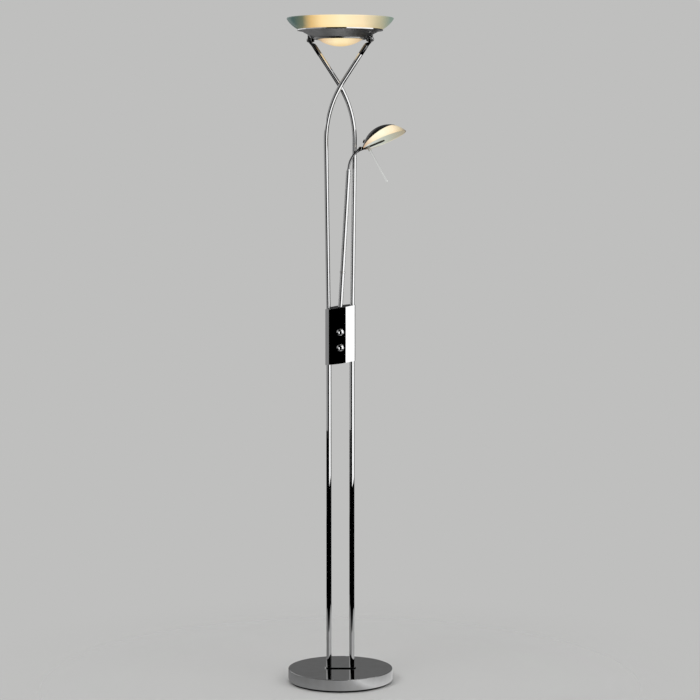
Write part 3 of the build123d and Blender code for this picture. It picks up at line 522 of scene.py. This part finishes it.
def screws(rings, places, turn, slot):
    pattern = bpy.data.objects.new("screwPattern", screwForm(rings))
    points = bpy.data.meshes.new("screwPlaces")
    points.from_pydata([Vector(place) * mm for place in places], [], [])
    values = {"Screw": pattern, "Turn": turn, "Size": 1.0, "Finish": finishes[slot]}
    mesh = grown(screwOnPoints, points, values)
    bpy.data.objects.remove(pattern)
    return mesh


base = {
    "radius": 142.5, "bottom": 6, "top": 36, "wall": 1.5, "edge": 1.4, "lip": 0.4, "insideEdge": 1.0,
    "turns": 192,
}


def baseCover():
    outer, inner = base["radius"], base["radius"] - base["wall"]
    bottom, top, roof = base["bottom"], base["top"], base["top"] - base["wall"]
    corners = [
        (inner, bottom), (outer, bottom, base["lip"]), (outer, top, base["edge"]), (0, top),
        (0, roof), (inner, roof, base["insideEdge"]),
    ]
    return lathe(filleted(corners, 8), base["turns"])


finished("baseCoverTurned", baseCover(), "stand", "chrome", ["base_cover"])
finished("footPlateSmooth", smoothed("foot_plate"), "stand", "chrome", ["foot_plate"])
for node, slot in (("foot_ring", "rubber"), ("cable_gland", "black_plastic"), ("base_plate", "black_steel")):
    finished(node + "Smooth", smoothed(node), "stand", slot, [node])
baseScrew = {
    "place": 70.711, "floor": 4.0,
    "rings": (
        (0, 2.0, 0), (1.6, 2.0, 6), (1.6, 0.2, 6), (2.1, 0.0, 0), (4.8, 0.0, 0), (4.95, 0.1, 0),
        (2.5, 2.55, 0), (2.5, 13.7, 0), (2.2, 14.0, 0), (0, 14.0, 0),
    ),
}


def baseScrews():
    place, floor = baseScrew["place"], baseScrew["floor"]
    places = [(x * place, y * place, floor) for x in (-1, 1) for y in (-1, 1)]
    return screws(baseScrew["rings"], places, (0, 0, 0), "plain_steel")


finished("baseScrewsSocket", baseScrews(), "stand", "plain_steel", ["base_screws"])
print("base: done")


tubes = {
    "spacing": 31.3, "lowerRadius": 7, "upperRadius": 6, "foot": 39, "middle": 500, "boxFloor": 950,
    "boxRoof": 953, "bendFrom": (-7.21, 1469.0), "bendRadius": 290.0, "bendSteps": 48,
    "splay": 0.8, "lean": 33.6, "twist": 11.5, "pivot": (113.29, headPivot), "shy": 19.5,
}


def upperPath(side):  # in the plane of the bend, then turned about the lamp's middle; side is 1 or -1
    lean, splay = math.radians(tubes["lean"]), math.radians(tubes["splay"])
    centre = Vector(tubes["bendFrom"]) + tubes["bendRadius"] * Vector((math.cos(splay), math.sin(splay)))
    points = [Vector((0, tubes["boxRoof"]))]
    for step in range(tubes["bendSteps"] + 1):
        angle = -splay + (lean + splay) * step / tubes["bendSteps"]
        points.append(centre + tubes["bendRadius"] * Vector((-math.cos(angle), math.sin(angle))))
    run = Vector((math.sin(lean), math.cos(lean)))
    points.append(Vector(tubes["pivot"]) - tubes["shy"] * run)
    twist = math.radians(tubes["twist"])
    place = []
    for across, height in points:
        x = -tubes["spacing"] + across * math.cos(twist)
        y = -across * math.sin(twist)
        place.append((side * x, side * y, height))
    return place


tubeEnd = {
    "around": 48,
    # rings of the sleeve: how far they stand before the pivot, and their radius
    "sleeve": ((46.0, 6.05), (45.85, 6.2), (45.5, 6.35), (21.0, 6.35), (19.9, 6.2)),
    # rings of the knuckle: their place outwards and upwards from the pivot, lean, half widths, squareness
    "knuckle": (
        (-10.76, -16.24, 33.0, 6.0, 6.0, 2.0), (-8.83, -13.33, 31.0, 5.95, 5.95, 2.0),
        (-6.3, -11.2, 27.0, 5.3, 5.7, 2.4), (-3.4, -9.4, 20.0, 4.4, 5.3, 3.0),
        (-1.0, -8.1, 9.0, 3.5, 5.1, 4.5), (0.0, -6.6, 0.0, 3.0, 5.0, 8.0), (0.0, -4.3, 0.0, 3.0, 5.0, 10.0),
        (0.0, -3.0, 0.0, 3.0, 5.77, 10.0), (0.0, -1.5, 0.0, 3.0, 6.32, 10.0), (0.0, 0.0, 0.0, 3.0, 6.5, 10.0),
        (0.0, 1.5, 0.0, 3.0, 6.32, 10.0), (0.0, 3.0, 0.0, 3.0, 5.77, 10.0), (0.0, 4.5, 0.0, 3.0, 4.69, 10.0),
        (0.0, 5.6, 0.0, 3.0, 3.3, 10.0), (0.0, 6.2, 0.0, 3.0, 1.95, 10.0), (0.0, 6.48, 0.0, 2.9, 0.5, 10.0),
    ),
}


def tubeEndMesh(side):  # side is 1 for the tube that rises to the right
    lean, twist = math.radians(tubes["lean"]), math.radians(tubes["twist"])
    over = side * math.sin(lean)
    run = Vector((over * math.cos(twist), -over * math.sin(twist), math.cos(lean)))
    pivot = Vector(upperPath(side)[-1]) + tubes["shy"] * run
    out = Vector((pivot.x, pivot.y, 0)).normalized()
    away = worldUp.cross(out)
    upper = away.cross(run).normalized()
    angles = [2 * math.pi * step / tubeEnd["around"] for step in range(tubeEnd["around"])]
    rings = []
    for distance, radius in tubeEnd["sleeve"]:
        centre = pivot - run * distance
        rings.append([centre + radius * (math.cos(a) * upper + math.sin(a) * away) for a in angles])
    for outwards, upwards, tilt, inPlane, depth, square in tubeEnd["knuckle"]:
        centre = pivot + out * outwards + worldUp * upwards
        tilt = math.radians(tilt)
        flat = out * math.cos(tilt) - worldUp * math.sin(tilt)
        ring = []
        for angle in angles:
            cos, sin = math.cos(angle), math.sin(angle)
            x = math.copysign(abs(cos) ** (2 / square), cos) * inPlane
            y = math.copysign(abs(sin) ** (2 / square), sin) * depth
            ring.append(centre + flat * x + away * y)
        rings.append(ring)
    return lofted(rings)


for name, side in (("left", 1), ("right", -1)):
    x = -side * tubes["spacing"]
    lowerRun = [(x, 0, tubes[height]) for height in ("foot", "middle", "boxFloor")]
    lower = tube(lowerRun, tubes["lowerRadius"], "chrome")
    finished("lowerTube." + name, lower, "stand", "chrome", ["lower_tube_" + name])
    upper = tube(upperPath(side), tubes["upperRadius"], "chrome")
    finished("upperTube." + name, upper, "stand", "chrome", ["upper_tube_" + name])
    finished("tubeEnd." + name, tubeEndMesh(side), "stand", "chrome", ["tube_end_" + name], endChrome)
    finished("clevis." + name, eased(smoothed("clevis_" + name), 0.7), "head", "chrome", ["clevis_" + name])
for node in ("pivot_screws", "pivot_nuts"):
    finished(node + "Smooth", smoothed(node), "head", "chrome", [node])
print("tubes: done")


box = {
    "middle": 950.3, "half": 75.5, "front": -21.5, "bow": 100.0, "wall": 1.5, "halfChord": 40.4,
    "chamfer": 1.8, "chamferSlope": 0.72, "endSlopeX": 8.5, "endSlopeY": 10.0, "columns": 48, "rows": 24,
    "knobs": (("upper", 960.5), ("lower", 918.5)), "knobFoot": -22.1,
}


def boxPlate():
    rows = box["rows"]
    reach = math.asin(box["halfChord"] / box["bow"])
    bevel = box["chamfer"] / box["bow"]
    inner = [(reach - bevel) * (2 * column / box["columns"] - 1) for column in range(box["columns"] + 1)]
    edge = [reach - bevel * share for share in (0.97, 0.5, 0.0)]
    angles = [-angle for angle in edge[::-1]] + inner + edge
    slopeX, slopeY = math.tan(math.radians(box["endSlopeX"])), math.tan(math.radians(box["endSlopeY"]))
    form = bmesh.new()
    rings = []  # each goes up the front and down the back
    for angle in angles:
        ring = []
        for radius, order in ((box["bow"], 1), (box["bow"] - box["wall"], -1)):
            x = radius * math.sin(angle)
            y = box["front"] + box["bow"] - radius * math.cos(angle)
            if radius == box["bow"]:
                y += box["chamferSlope"] * max(0.0, box["chamfer"] - (reach - abs(angle)) * box["bow"])
            middle = box["middle"] + slopeX * x + slopeY * (y - box["front"])
            heights = [middle + box["half"] * (2 * row / rows - 1) for row in range(rows + 1)]
            ring += [form.verts.new((x * mm, y * mm, z * mm)) for z in heights[::order]]
        rings.append(ring)
    skinned(form, rings)
    for ring in (rings[0], rings[-1]):
        for row in range(rows):
            form.faces.new((ring[row], ring[row + 1], ring[-2 - row], ring[-1 - row]))
    bmesh.ops.recalc_face_normals(form, faces=form.faces)
    return meshOf(form, "plate")


knobShape = {
    "radius": 9.6, "bore": 7.6, "recess": 3.0, "skirt": 8.0, "face": 4.7, "height": 12.5, "shoulder": 6.2,
    "dimple": 1.0, "dimpleAngles": (1.3, 1.05, 0.8, 0.55, 0.3), "turns": 96,
}


def knob():
    radius, bore, recess, skirt = (knobShape[key] for key in ("radius", "bore", "recess", "skirt"))
    face, height, dimple = (knobShape[key] for key in ("face", "height", "dimple"))
    lower = filleted([(0, recess), (bore, recess), (bore, 0, 0.2), (radius, 0, 0.3), (radius, skirt)])
    shoulder = bowed((radius, skirt), (face, height), knobShape["shoulder"], 12)[1:]
    shares = [math.sin(angle) for angle in knobShape["dimpleAngles"]]
    hollow = [(face * share, height - dimple * (1 - share ** 2)) for share in shares]
    return lathe(lower + shoulder + hollow + [(0, height - dimple)], knobShape["turns"])


finished("boxPlateBowed", boxPlate(), "stand", "chrome", ["box_plate"], plateChrome)
for node in ("box_housing", "box_back_cover"):
    finished(node + "Smooth", smoothed(node), "stand", "black_plastic", [node])
boxScrew = {
    "across": 19.8, "depth": 17.14, "middle": 957.618, "drop": 62.0, "turn": (-math.pi / 2, 0, 0),
    "rings": (
        (0, -1.1, 0), (0.95, -1.1, 6), (0.95, -0.1, 6), (1.25, 0.0, 0), (2.6, 0.0, 0), (2.95, -0.35, 0),
        (3.0, -0.7, 0), (3.0, -2.0, 0), (1.6, -2.0, 0), (1.6, -23.7, 0), (1.3, -24.0, 0), (0, -24.0, 0),
    ),
}


def boxScrews():
    rise = math.tan(math.radians(box["endSlopeX"]))
    places = []
    for side in (-1, 1):
        x = side * boxScrew["across"]
        middle = boxScrew["middle"] + x * rise
        places += [(x, boxScrew["depth"], middle + up * boxScrew["drop"]) for up in (-1, 1)]
    return screws(boxScrew["rings"], places, boxScrew["turn"], "plain_steel")


finished("boxScrewsSocket", boxScrews(), "stand", "plain_steel", ["box_screws"])
for name, height in box["knobs"]:
    mesh = knob()
    mesh.transform(placing((0, box["knobFoot"], height), Vector((1, 0, 0)), worldUp, Vector((0, -1, 0))))
    finished("knob." + name, mesh, "knob_" + name + "_body", "chrome", ["knob_" + name])
print("box: done")


headTurns = 192


def turnedOnHead(section):
    return lathe([(radius, height + headPivot) for radius, height in section], headTurns)


bowlShape = {  # hole, flat, ledge and rim, then floor, shelf and top
    "radii": (61, 71, 106, 114.5), "heights": (5, 24, 27.5), "wall": 1.2, "slant": 0.4,
}


def bowl():
    hole, flat, ledge, rim = bowlShape["radii"]
    floor, shelf, top = bowlShape["heights"]
    wall, slant = bowlShape["wall"], bowlShape["slant"]
    corners = [
        (hole, floor, 0.4), (flat, floor, 1.0), (ledge, shelf, 1.5), (rim, shelf, 0.5), (rim, top, 0.5),
        (rim - wall, top, 0.4), (rim - wall, shelf + wall), (ledge - slant, shelf + wall, 1.0),
        (flat - slant, floor + wall, 0.6), (hole, floor + wall, 0.4),
    ]
    return turnedOnHead(filleted(corners))


dishShape = {
    "foot": (112.8, 27.5), "rim": (144.6, 58), "insideFoot": (107.85, 29.7), "insideRim": (140.1, 58),
    "arc": 74.0, "steps": 28, "roundFrom": 56.2, "roundAngles": (0.25, 0.6, 1.1, 1.57, 2.04, 2.54, 2.89),
    "seat": 25.2, "hole": 99.8,
}


def dish():
    start, arc, steps = dishShape["roundFrom"], dishShape["arc"], dishShape["steps"]
    outside = bowed(dishShape["foot"], dishShape["rim"], arc, steps)
    inside = bowed(dishShape["insideFoot"], dishShape["insideRim"], arc, steps)[::-1]
    outside, inside = ([point for point in skin if point[1] < start] for skin in (outside, inside))
    wide, narrow = outside[-1][0], inside[0][0]
    middle, half, rise = (wide + narrow) / 2, (wide - narrow) / 2, dishShape["rim"][1] - start
    rim = [(middle + half * math.cos(a), start + rise * math.sin(a)) for a in dishShape["roundAngles"]]
    seat, hole = dishShape["seat"], dishShape["hole"]
    foot = [(hole, dishShape["insideFoot"][1]), (hole, seat), (dishShape["foot"][0], seat)]
    return turnedOnHead(outside + rim + inside + foot)


lensShape = {
    "sphere": 107.05, "radius": 63, "bottom": 3.0, "thick": 3, "flange": (66.2, 60.5, 4.6), "steps": 30,
    "insideSteps": 27,
}


def lens():
    sphere, radius, bottom = lensShape["sphere"], lensShape["radius"], lensShape["bottom"]
    centre = bottom + math.sqrt(sphere ** 2 - radius ** 2)
    steep, steps = math.asin(radius / sphere), lensShape["steps"]
    angles = [steep * step / steps for step in range(steps + 1)]
    outside = [(sphere * math.sin(a), centre - sphere * math.cos(a)) for a in angles]
    wide, narrow, top = lensShape["flange"]
    within = sphere - lensShape["thick"]
    angles = angles[lensShape["insideSteps"]::-1]
    inside = [(within * math.sin(a), centre - within * math.cos(a)) for a in angles]
    return turnedOnHead(outside + [(wide, bottom), (wide, top), (narrow, top)] + inside)


lensRingShape = {  # hole, recess and outside, then bottom, step and top
    "radii": (63.3, 66.5, 70.5), "heights": (1, 3, 5),
}


def lensRing():
    hole, recess, radius = lensRingShape["radii"]
    bottom, step, top = lensRingShape["heights"]
    corners = [
        (hole, bottom, 0.4), (radius, bottom, 0.9), (radius, top, 0.4), (recess, top, 0.3), (recess, step),
        (hole, step, 0.3),
    ]
    return turnedOnHead(filleted(corners))


finished("bowlTurned", bowl(), "head", "chrome", ["bowl"], bowlChrome)
finished("dishTurned", dish(), "head", "opal_glass", ["dish_glass"])
finished("lensTurned", lens(), "head", "opal_glass", ["lens_glass"], lensOpal)
finished("lensRingTurned", lensRing(), "head", "chrome", ["lens_ring"], ringDark)
for node, slot in (
    ("lamp_strip", "plain_steel"), ("lampholders", "ceramic"), ("lamp_nuts", "plain_steel"),
    ("lamp_bolts", "plain_steel"),
):
    finished(node + "Smooth", smoothed(node), "head", slot, [node])

halogen = {
    "centre": (0, 0, 1767), "axis": (0.962125, -0.272609, 0), "straight": 45.5,
    # radius and place beyond the straight part, round the pinched end of the tube
    "outside": ((3.4, 2.9), (4.5, 2.2), (5.2, 1.2), (5.5, 0.0)),
    "inside": ((4.4, -0.6), (3.9, 0.6), (3.0, 1.4), (2.0, 1.8)),
    "cap": (
        (0, 47.4), (3.0, 47.4), (4.0, 49.2, 0.5), (4.0, 55.4, 0.6), (2.0, 55.6), (2.0, 57.0, 0.3), (0, 57.0)),
    "coil": 1.1, "wire": 0.22, "turns": 26, "turnSteps": 12, "filament": 34.0, "taper": 3, "leads": 47.0,
}


def alongLamp(section, turns):
    return lathe(section, turns, about(halogen["centre"], halogen["axis"]))


def quartzTube():
    half = halogen["straight"]
    outside, inside = ([(r, half + z) for r, z in halogen[skin]] for skin in ("outside", "inside"))
    farEnd = [(r, -z) for r, z in outside[::-1]] + [(r, -z) for r, z in inside[::-1]]
    return alongLamp(outside + farEnd + inside, 48)


def lampCap(side):
    return alongLamp([(r, side * z) for r, z in filleted(halogen["cap"])], 40)


def coiled():  # the filament's wire: a lead, the coil and a lead
    axis, centre = Vector(halogen["axis"]), Vector(halogen["centre"])
    across, half = worldUp.cross(axis), halogen["filament"]
    lead, bare = axis * halogen["leads"], axis * (half + halogen["taper"])
    points = [centre - lead, centre - bare]
    steps = halogen["turns"] * halogen["turnSteps"]
    for step in range(steps + 1):
        angle = 2 * math.pi * step / halogen["turnSteps"]
        turn = across * math.cos(angle) + worldUp * math.sin(angle)
        points.append(centre + axis * half * (2 * step / steps - 1) + turn * halogen["coil"])
    return points + [centre + bare, centre + lead]


finished("halogenQuartz", quartzTube(), "head", "clear_glass", ["halogen_lamp"], lampGlass)
for name, side in (("left", -1), ("right", 1)):
    finished("halogenCap." + name, lampCap(side), "head", "ceramic", [])
wire = {"Radius": halogen["wire"] * mm, "Sides": 6, "Finish": filamentGlow}
filament = grown(tubeOnPath, pathMesh(coiled()), wire)
finished("halogenFilament", filament, "head", "plain_steel", [], filamentGlow)
print("lamp head: done")


arm = {  # places along the arm, mm from its foot
    "origin": Vector((0, -12, 1022.8)), "direction": Vector((0.059306, 0, 0.99824)),
    "radius": 6.25, "stubTop": 95.9, "ring": (96.0, 100.0, 7.6), "tube": (100.3, 200, 369.0),
    "bush": (369.0, 376.0, 4.35), "neckRadius": 3.15, "neckFrom": 358.0, "neckBend": 67.4, "neckTurn": 47.0,
    "neckSteps": 40, "tail": 3.0, "turns": 64,
}


def onArm(distance):
    return arm["origin"] + arm["direction"] * distance


def neckPath():
    tilt = math.atan2(arm["direction"].x, arm["direction"].z)
    start = onArm(arm["bush"][1])
    centre = start + arm["neckBend"] * Vector((math.cos(tilt), 0, -math.sin(tilt)))
    points = [onArm(arm["neckFrom"])]
    for step in range(arm["neckSteps"] + 1):
        angle = tilt + math.radians(arm["neckTurn"]) * step / arm["neckSteps"]
        points.append(centre + arm["neckBend"] * Vector((-math.cos(angle), 0, math.sin(angle))))
    points.append(points[-1] + arm["tail"] * Vector((math.sin(angle), 0, math.cos(angle))))
    return points


def onArmTurned(corners):
    return lathe(filleted(corners), arm["turns"], about(arm["origin"], arm["direction"]))


def armRing():
    low, high, radius = arm["ring"]
    return onArmTurned([(0, low), (radius, low, 0.6), (radius, high, 0.8), (0, high)])


def neckBush():
    low, high, slim = arm["bush"]
    return onArmTurned([(0, low), (arm["radius"], low, 0.3), (slim, high, 0.4), (0, high)])


armStub = tube([onArm(0), onArm(arm["stubTop"])], arm["radius"], "chrome")
finished("armStub", armStub, "stand", "chrome", ["arm_stub"])
finished("armCollarSmooth", smoothed("arm_collar"), "stand", "black_plastic", ["arm_collar"])
finished("armRingTurned", armRing(), "arm", "chrome", ["arm_ring"])
armRun = [onArm(place) for place in arm["tube"]]
finished("armTube", tube(armRun, arm["radius"], "chrome"), "arm", "chrome", ["arm_tube"])
finished("neckBushTurned", neckBush(), "arm", "chrome", ["neck_bush"])
finished("neckBent", tube(neckPath(), arm["neckRadius"], "black_chrome", 48), "arm", "black_chrome", ["neck"])
finished("neckEyeSmooth", smoothed("neck_eye"), "arm", "black_chrome", ["neck_eye"])
print("reading arm: done")


shade = {
    "radius": 62.2, "height": 37.5, "gap": 0.2, "thickness": 1.0, "edge": 0.25, "rise": 14.0, "pitch": 10.0,
    "notchHalf": 9.6, "notchHeight": 10.0, "rings": 44, "turns": 176,
}


def shellCap():  # the black half shell over the glass dome, cut by a slanting plane and notched at the hinge
    radius, height, turns = shade["radius"], shade["height"], shade["turns"]
    sphere = (radius ** 2 + height ** 2) / (2 * height)
    centre = height - sphere
    outer = sphere + shade["gap"] + shade["thickness"]
    steep = math.acos(-centre / outer)
    form = bmesh.new()
    rows = [[form.verts.new((0, 0, (centre + outer) * mm))]]
    for ring in range(1, shade["rings"] + 1):
        polar = steep * ring / shade["rings"]
        points = ringPoints(outer * math.sin(polar), centre + outer * math.cos(polar), turns)
        rows.append([form.verts.new(point) for point in points])
    skinned(form, rows[::-1])
    half, top = shade["notchHalf"] * mm, shade["notchHeight"] * mm
    slant = (-math.tan(math.radians(shade["rise"])), math.tan(math.radians(shade["pitch"])), 1)
    for point, across, clear in (
        ((-radius * mm, 0, 0), slant, True), ((0, half, 0), (0, 1, 0), False),
        ((0, -half, 0), (0, 1, 0), False), ((0, 0, top), (0, 0, 1), False),
    ):
        everything = form.verts[:] + form.edges[:] + form.faces[:]
        bmesh.ops.bisect_plane(
            form, geom=everything, plane_co=point, plane_no=across, clear_inner=clear, dist=1e-7)
    notch = []
    for face in form.faces:
        middle = face.calc_center_median()
        if abs(middle.y) < half and middle.z < top and middle.x < 0:
            notch.append(face)
    bmesh.ops.delete(form, geom=notch, context="FACES")
    mesh = modified(meshOf(form, "shell"), "SOLIDIFY", {"thickness": shade["thickness"] * mm, "offset": -1.0})
    mesh = eased(mesh, shade["edge"])
    mesh.transform(placing(reading["origin"], reading["x"], reading["y"], reading["z"]))
    return mesh


finished("readingShellCap", shellCap(), "reading_head", "black_chrome", ["reading_shell"], shellBlack)
for node, slot, material in (
    ("reading_tongue", "chrome", tonguePaintedShade), ("hinge_screw", "chrome", None),
    ("reading_disc", "opal_glass", discOpal), ("reading_glass", "opal_glass", domeOpal),
    ("shell_screw", "chrome", None), ("capsule_holder", "ceramic", None),
    ("handle_socket", "handle_fitting", None), ("handle", "clear_glass", rodAcrylic),
    ("capsule_lamp", "clear_glass", lampGlass),
):
    curved = node in ("reading_glass", "reading_disc", "capsule_lamp", "handle")
    finished(node + "Smooth", smoothed(node, curved), "reading_head", slot, [node], material)
print("reading head: done")


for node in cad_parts.values():
    slotName = node.data.materials[0].name.split(".")[0]
    node.data.materials[0] = finishes[slotName]


studio = {
    "pale": seen(191, 191, 190), "worldLight": 0.42, "floorFade": (0.3, 1.2),
    # cards that polished metal sees: bearings from the camera's side towards +X, radius,
    # bottom and top edges as (bearing, height) stops, brightness
    "walls": [
        ("flagBlack", 17, -37, 6.5, ((0, -0.4),), ((0, 4.6),), 0.0),
        ("softboxWhite", 98, 17, 2.3, ((0, 0.0),), ((0, 3.3),), 1.3),
        ("screenRight", 150, 98, 5.5, ((0, -0.4),), ((0, 4.6),), 0.05),
        ("screenLeft", -37, -105, 5.5, ((0, -0.4),), ((0, 4.6),), 0.26),
        ("bandLeft", -50, -105, 5.3, ((0, 1.95),), ((0, 2.3),), 0.5),
        ("screenLeftRear", -105, -165, 5.5, ((0, -0.4),), ((0, 4.6),), 0.42),
        ("bandLeftRear", -105, -165, 5.3, ((0, 1.95),), ((0, 2.4),), 0.85),
        ("kneeFlag", 8, 135, 0.5, ((0, 0.15),), ((0, 0.25),), 0.0),
        ("screenBack", 195, 150, 6.0, ((0, -0.4),), ((0, 4.6),), 0.13),
        ("lowFlag", 130, -165, 1.15, ((0, 0.0),),
         ((-165, 0.25), (-90, 0.29), (-37, 0.355), (20, 0.365), (130, 0.41)), 0.0),
    ],
    "nearFloor": (0.62, 0.38, 0.82), "nearShares": (0.12, 0.5, 1.0), "farFloor": (1.2, 6.4),
    "cardHeight": 0.0012, "frontArc": 120,
    "nearTones": ((0.1, 0.17), (0.5, 0.25), (0.64, 0.36), (0.72, 0.6), (0.9, 0.4)),
    "farTones": ((0.3, 0.15), (0.7, 0.035)),
    "ceiling": (4.6, 0.01, 6.6), "ceilingTones": (0.02, 0.15),
}


def toneMaterial(name, tones, reach):  # a card's brightness, which may change from left to right
    finish = Finish(name)
    across = finish.along(finish.place(), (0, 0, 0), (1, 0, 0)) / (2 * reach) + 0.5
    stops = [(position, (tone, tone, tone)) for position, tone in tones]
    tone = finish.node("ShaderNodeValToRGB", {"stops": stops}, {0: across})
    glow = finish.node("ShaderNodeEmission", {}, {"Color": tone, "Strength": 1.0})
    finish.tree.links.new(glow.socket, finish.output.inputs["Surface"])
    return finish.material


def onlyReflected(name, strips, material):  # strips are rows of points; the card is seen by mirrors only
    form = bmesh.new()
    rows = [[form.verts.new(point) for point in strip] for strip in strips]
    for near, far in zip(rows, rows[1:]):
        for step in range(len(near) - 1):
            form.faces.new((near[step], near[step + 1], far[step + 1], far[step]))
    mesh = meshOf(form, name)
    mesh.materials.append(material)
    card = inScene(name, mesh)
    card.visible_camera = card.visible_diffuse = card.visible_shadow = False
    card.visible_transmission = card.visible_volume_scatter = False


def bearing(angle, radius, height):  # a point at an angle from the camera's side of the lamp towards +X
    angle = math.radians(angle)
    return (radius * math.sin(angle), -radius * math.cos(angle), height)


def between(stops, angle):  # a height read off (bearing, height) stops
    for (low, first), (high, last) in zip(stops, stops[1:]):
        if low <= angle <= high:
            return first + (last - first) * (angle - low) / (high - low)
    return stops[0][1]


def nearEdge(angle):  # how far the light floor reaches before it turns dark
    front, swell, rear = studio["nearFloor"]
    side = math.sin(math.radians(angle)) ** 2
    start = front if math.cos(math.radians(angle)) > 0 else rear
    return start + (front + swell - start) * side


def spread(start, end, steps=60):
    return [start + (end - start) * step / steps for step in range(steps + 1)]


def floorRow(angles, radius=None, share=1.0):  # without a radius, a share of the light floor's
    return [bearing(a, radius or share * nearEdge(a), studio["cardHeight"]) for a in angles]


for name, start, end, radius, bottoms, tops, brightness in studio["walls"]:
    angles = spread(start, end)
    low = [bearing(a, radius, between(bottoms, a)) for a in angles]
    high = [bearing(a, radius, between(tops, a)) for a in angles]
    onlyReflected(name, [low, high], toneMaterial(name, ((0, brightness), (1, brightness * 0.97)), radius))
circle = spread(-180, 180, 120)
frontArc = [a for a in circle if abs(a) <= studio["frontArc"]]
rearArc = [a % 360 for a in range(studio["frontArc"], 361 - studio["frontArc"], 4)]
nearCard = toneMaterial("nearTone", studio["nearTones"], 0.3)
farCard = toneMaterial("farTone", studio["farTones"], 1.0)
darkCard = toneMaterial("darkTone", ((0, 0), (1, 0)), 1.0)
inside, outside = studio["farFloor"]
onlyReflected("floorNear", [floorRow(circle, share=share) for share in studio["nearShares"]], nearCard)
onlyReflected("floorFar", [floorRow(frontArc, inside), floorRow(frontArc, outside)], darkCard)
onlyReflected("floorInner", [floorRow(frontArc), floorRow(frontArc, inside)], darkCard)
rearRows = [floorRow(rearArc, radius) for radius in (None, inside, outside)]
onlyReflected("floorRear", rearRows, farCard)
height, middle, reach = studio["ceiling"]
ceilings = (("ceilingFront", -90, 90), ("ceilingRear", 90, 270))
for (name, start, end), tone in zip(ceilings, studio["ceilingTones"]):
    angles = spread(start, end)
    card = toneMaterial(name, ((0, tone), (1, tone * 0.98)), reach)
    onlyReflected(name, [[bearing(a, radius, height) for a in angles] for radius in (middle, reach)], card)


def floorSheet():
    finish = Finish("paleFloor")
    distance = finish.node("ShaderNodeVectorMath", {"operation": "LENGTH"}, {0: finish.place()}, 1)
    near, far = studio["floorFade"]
    solid = finish.node("ShaderNodeBsdfDiffuse", {}, {"Color": studio["pale"]})
    clear = finish.node("ShaderNodeBsdfTransparent")
    fade = finish.ranged(distance, near, far)
    both = finish.node("ShaderNodeMixShader", {}, {0: fade, 1: solid, 2: clear})
    finish.tree.links.new(both.socket, finish.output.inputs["Surface"])
    form = bmesh.new()
    bmesh.ops.create_circle(form, cap_ends=True, radius=far + 0.05, segments=96)
    mesh = meshOf(form, "floor")
    mesh.materials.append(finish.material)
    inScene("floor", mesh)


floorSheet()


def paleWorld():  # an even light, in which the camera, metal and glass see the pale background
    world = bpy.data.worlds.new("paleStudio")
    bpy.context.scene.world = world
    world.use_nodes = True
    tree = world.node_tree
    tree.nodes.clear()
    rays = tree.nodes.new("ShaderNodeLightPath")
    seenRay = rays.outputs["Is Camera Ray"]
    for name in ("Is Glossy Ray", "Is Transmission Ray"):
        either = tree.nodes.new("ShaderNodeMath")
        either.operation = "MAXIMUM"
        tree.links.new(seenRay, either.inputs[0])
        tree.links.new(rays.outputs[name], either.inputs[1])
        seenRay = either.outputs[0]
    both = tree.nodes.new("ShaderNodeMixShader")
    tree.links.new(seenRay, both.inputs[0])
    for socket, colour, strength in ((1, (1, 1, 1), studio["worldLight"]), (2, studio["pale"], 1.0)):
        background = tree.nodes.new("ShaderNodeBackground")
        background.inputs["Color"].default_value = (*colour, 1)
        background.inputs["Strength"].default_value = strength
        tree.links.new(background.outputs[0], both.inputs[socket])
    out = tree.nodes.new("ShaderNodeOutputWorld")
    tree.links.new(both.outputs[0], out.inputs["Surface"])


paleWorld()

lamps = [  # name, place, aim, size, watts
    ("keyLight", (-2.2, -2.6, 3.4), (0, 0, 0.9), 2.2, 72),
    ("fillLight", (2.6, -1.8, 2.6), (0, 0, 0.9), 2.4, 38),
    ("topLight", (0.0, 0.6, 4.0), (0, 0, 0.0), 2.4, 46),
]
for name, place, aim, size, watts in lamps:
    light = bpy.data.lights.new(name, "AREA")
    light.shape = "DISK"
    light.size = size
    light.energy = watts
    lamp = inScene(name, light)
    lamp.location = place
    lamp.rotation_euler = (Vector(aim) - Vector(place)).to_track_quat("-Z", "Y").to_euler()
    lamp.visible_glossy = lamp.visible_camera = False

shot = {"eye": (0.0262, -5.87, 1.43), "pitchDown": 5.062, "lens": 112.03}
camera = bpy.data.cameras.new("camera")
camera.sensor_width = 36
camera.lens = shot["lens"]
camera.clip_end = 60
viewer = inScene("camera", camera)
viewer.location = shot["eye"]
viewer.rotation_euler = (math.radians(90 - shot["pitchDown"]), 0, 0)
bpy.context.scene.camera = viewer
bpy.context.scene.view_settings.view_transform = "Standard"
print("studio: done")
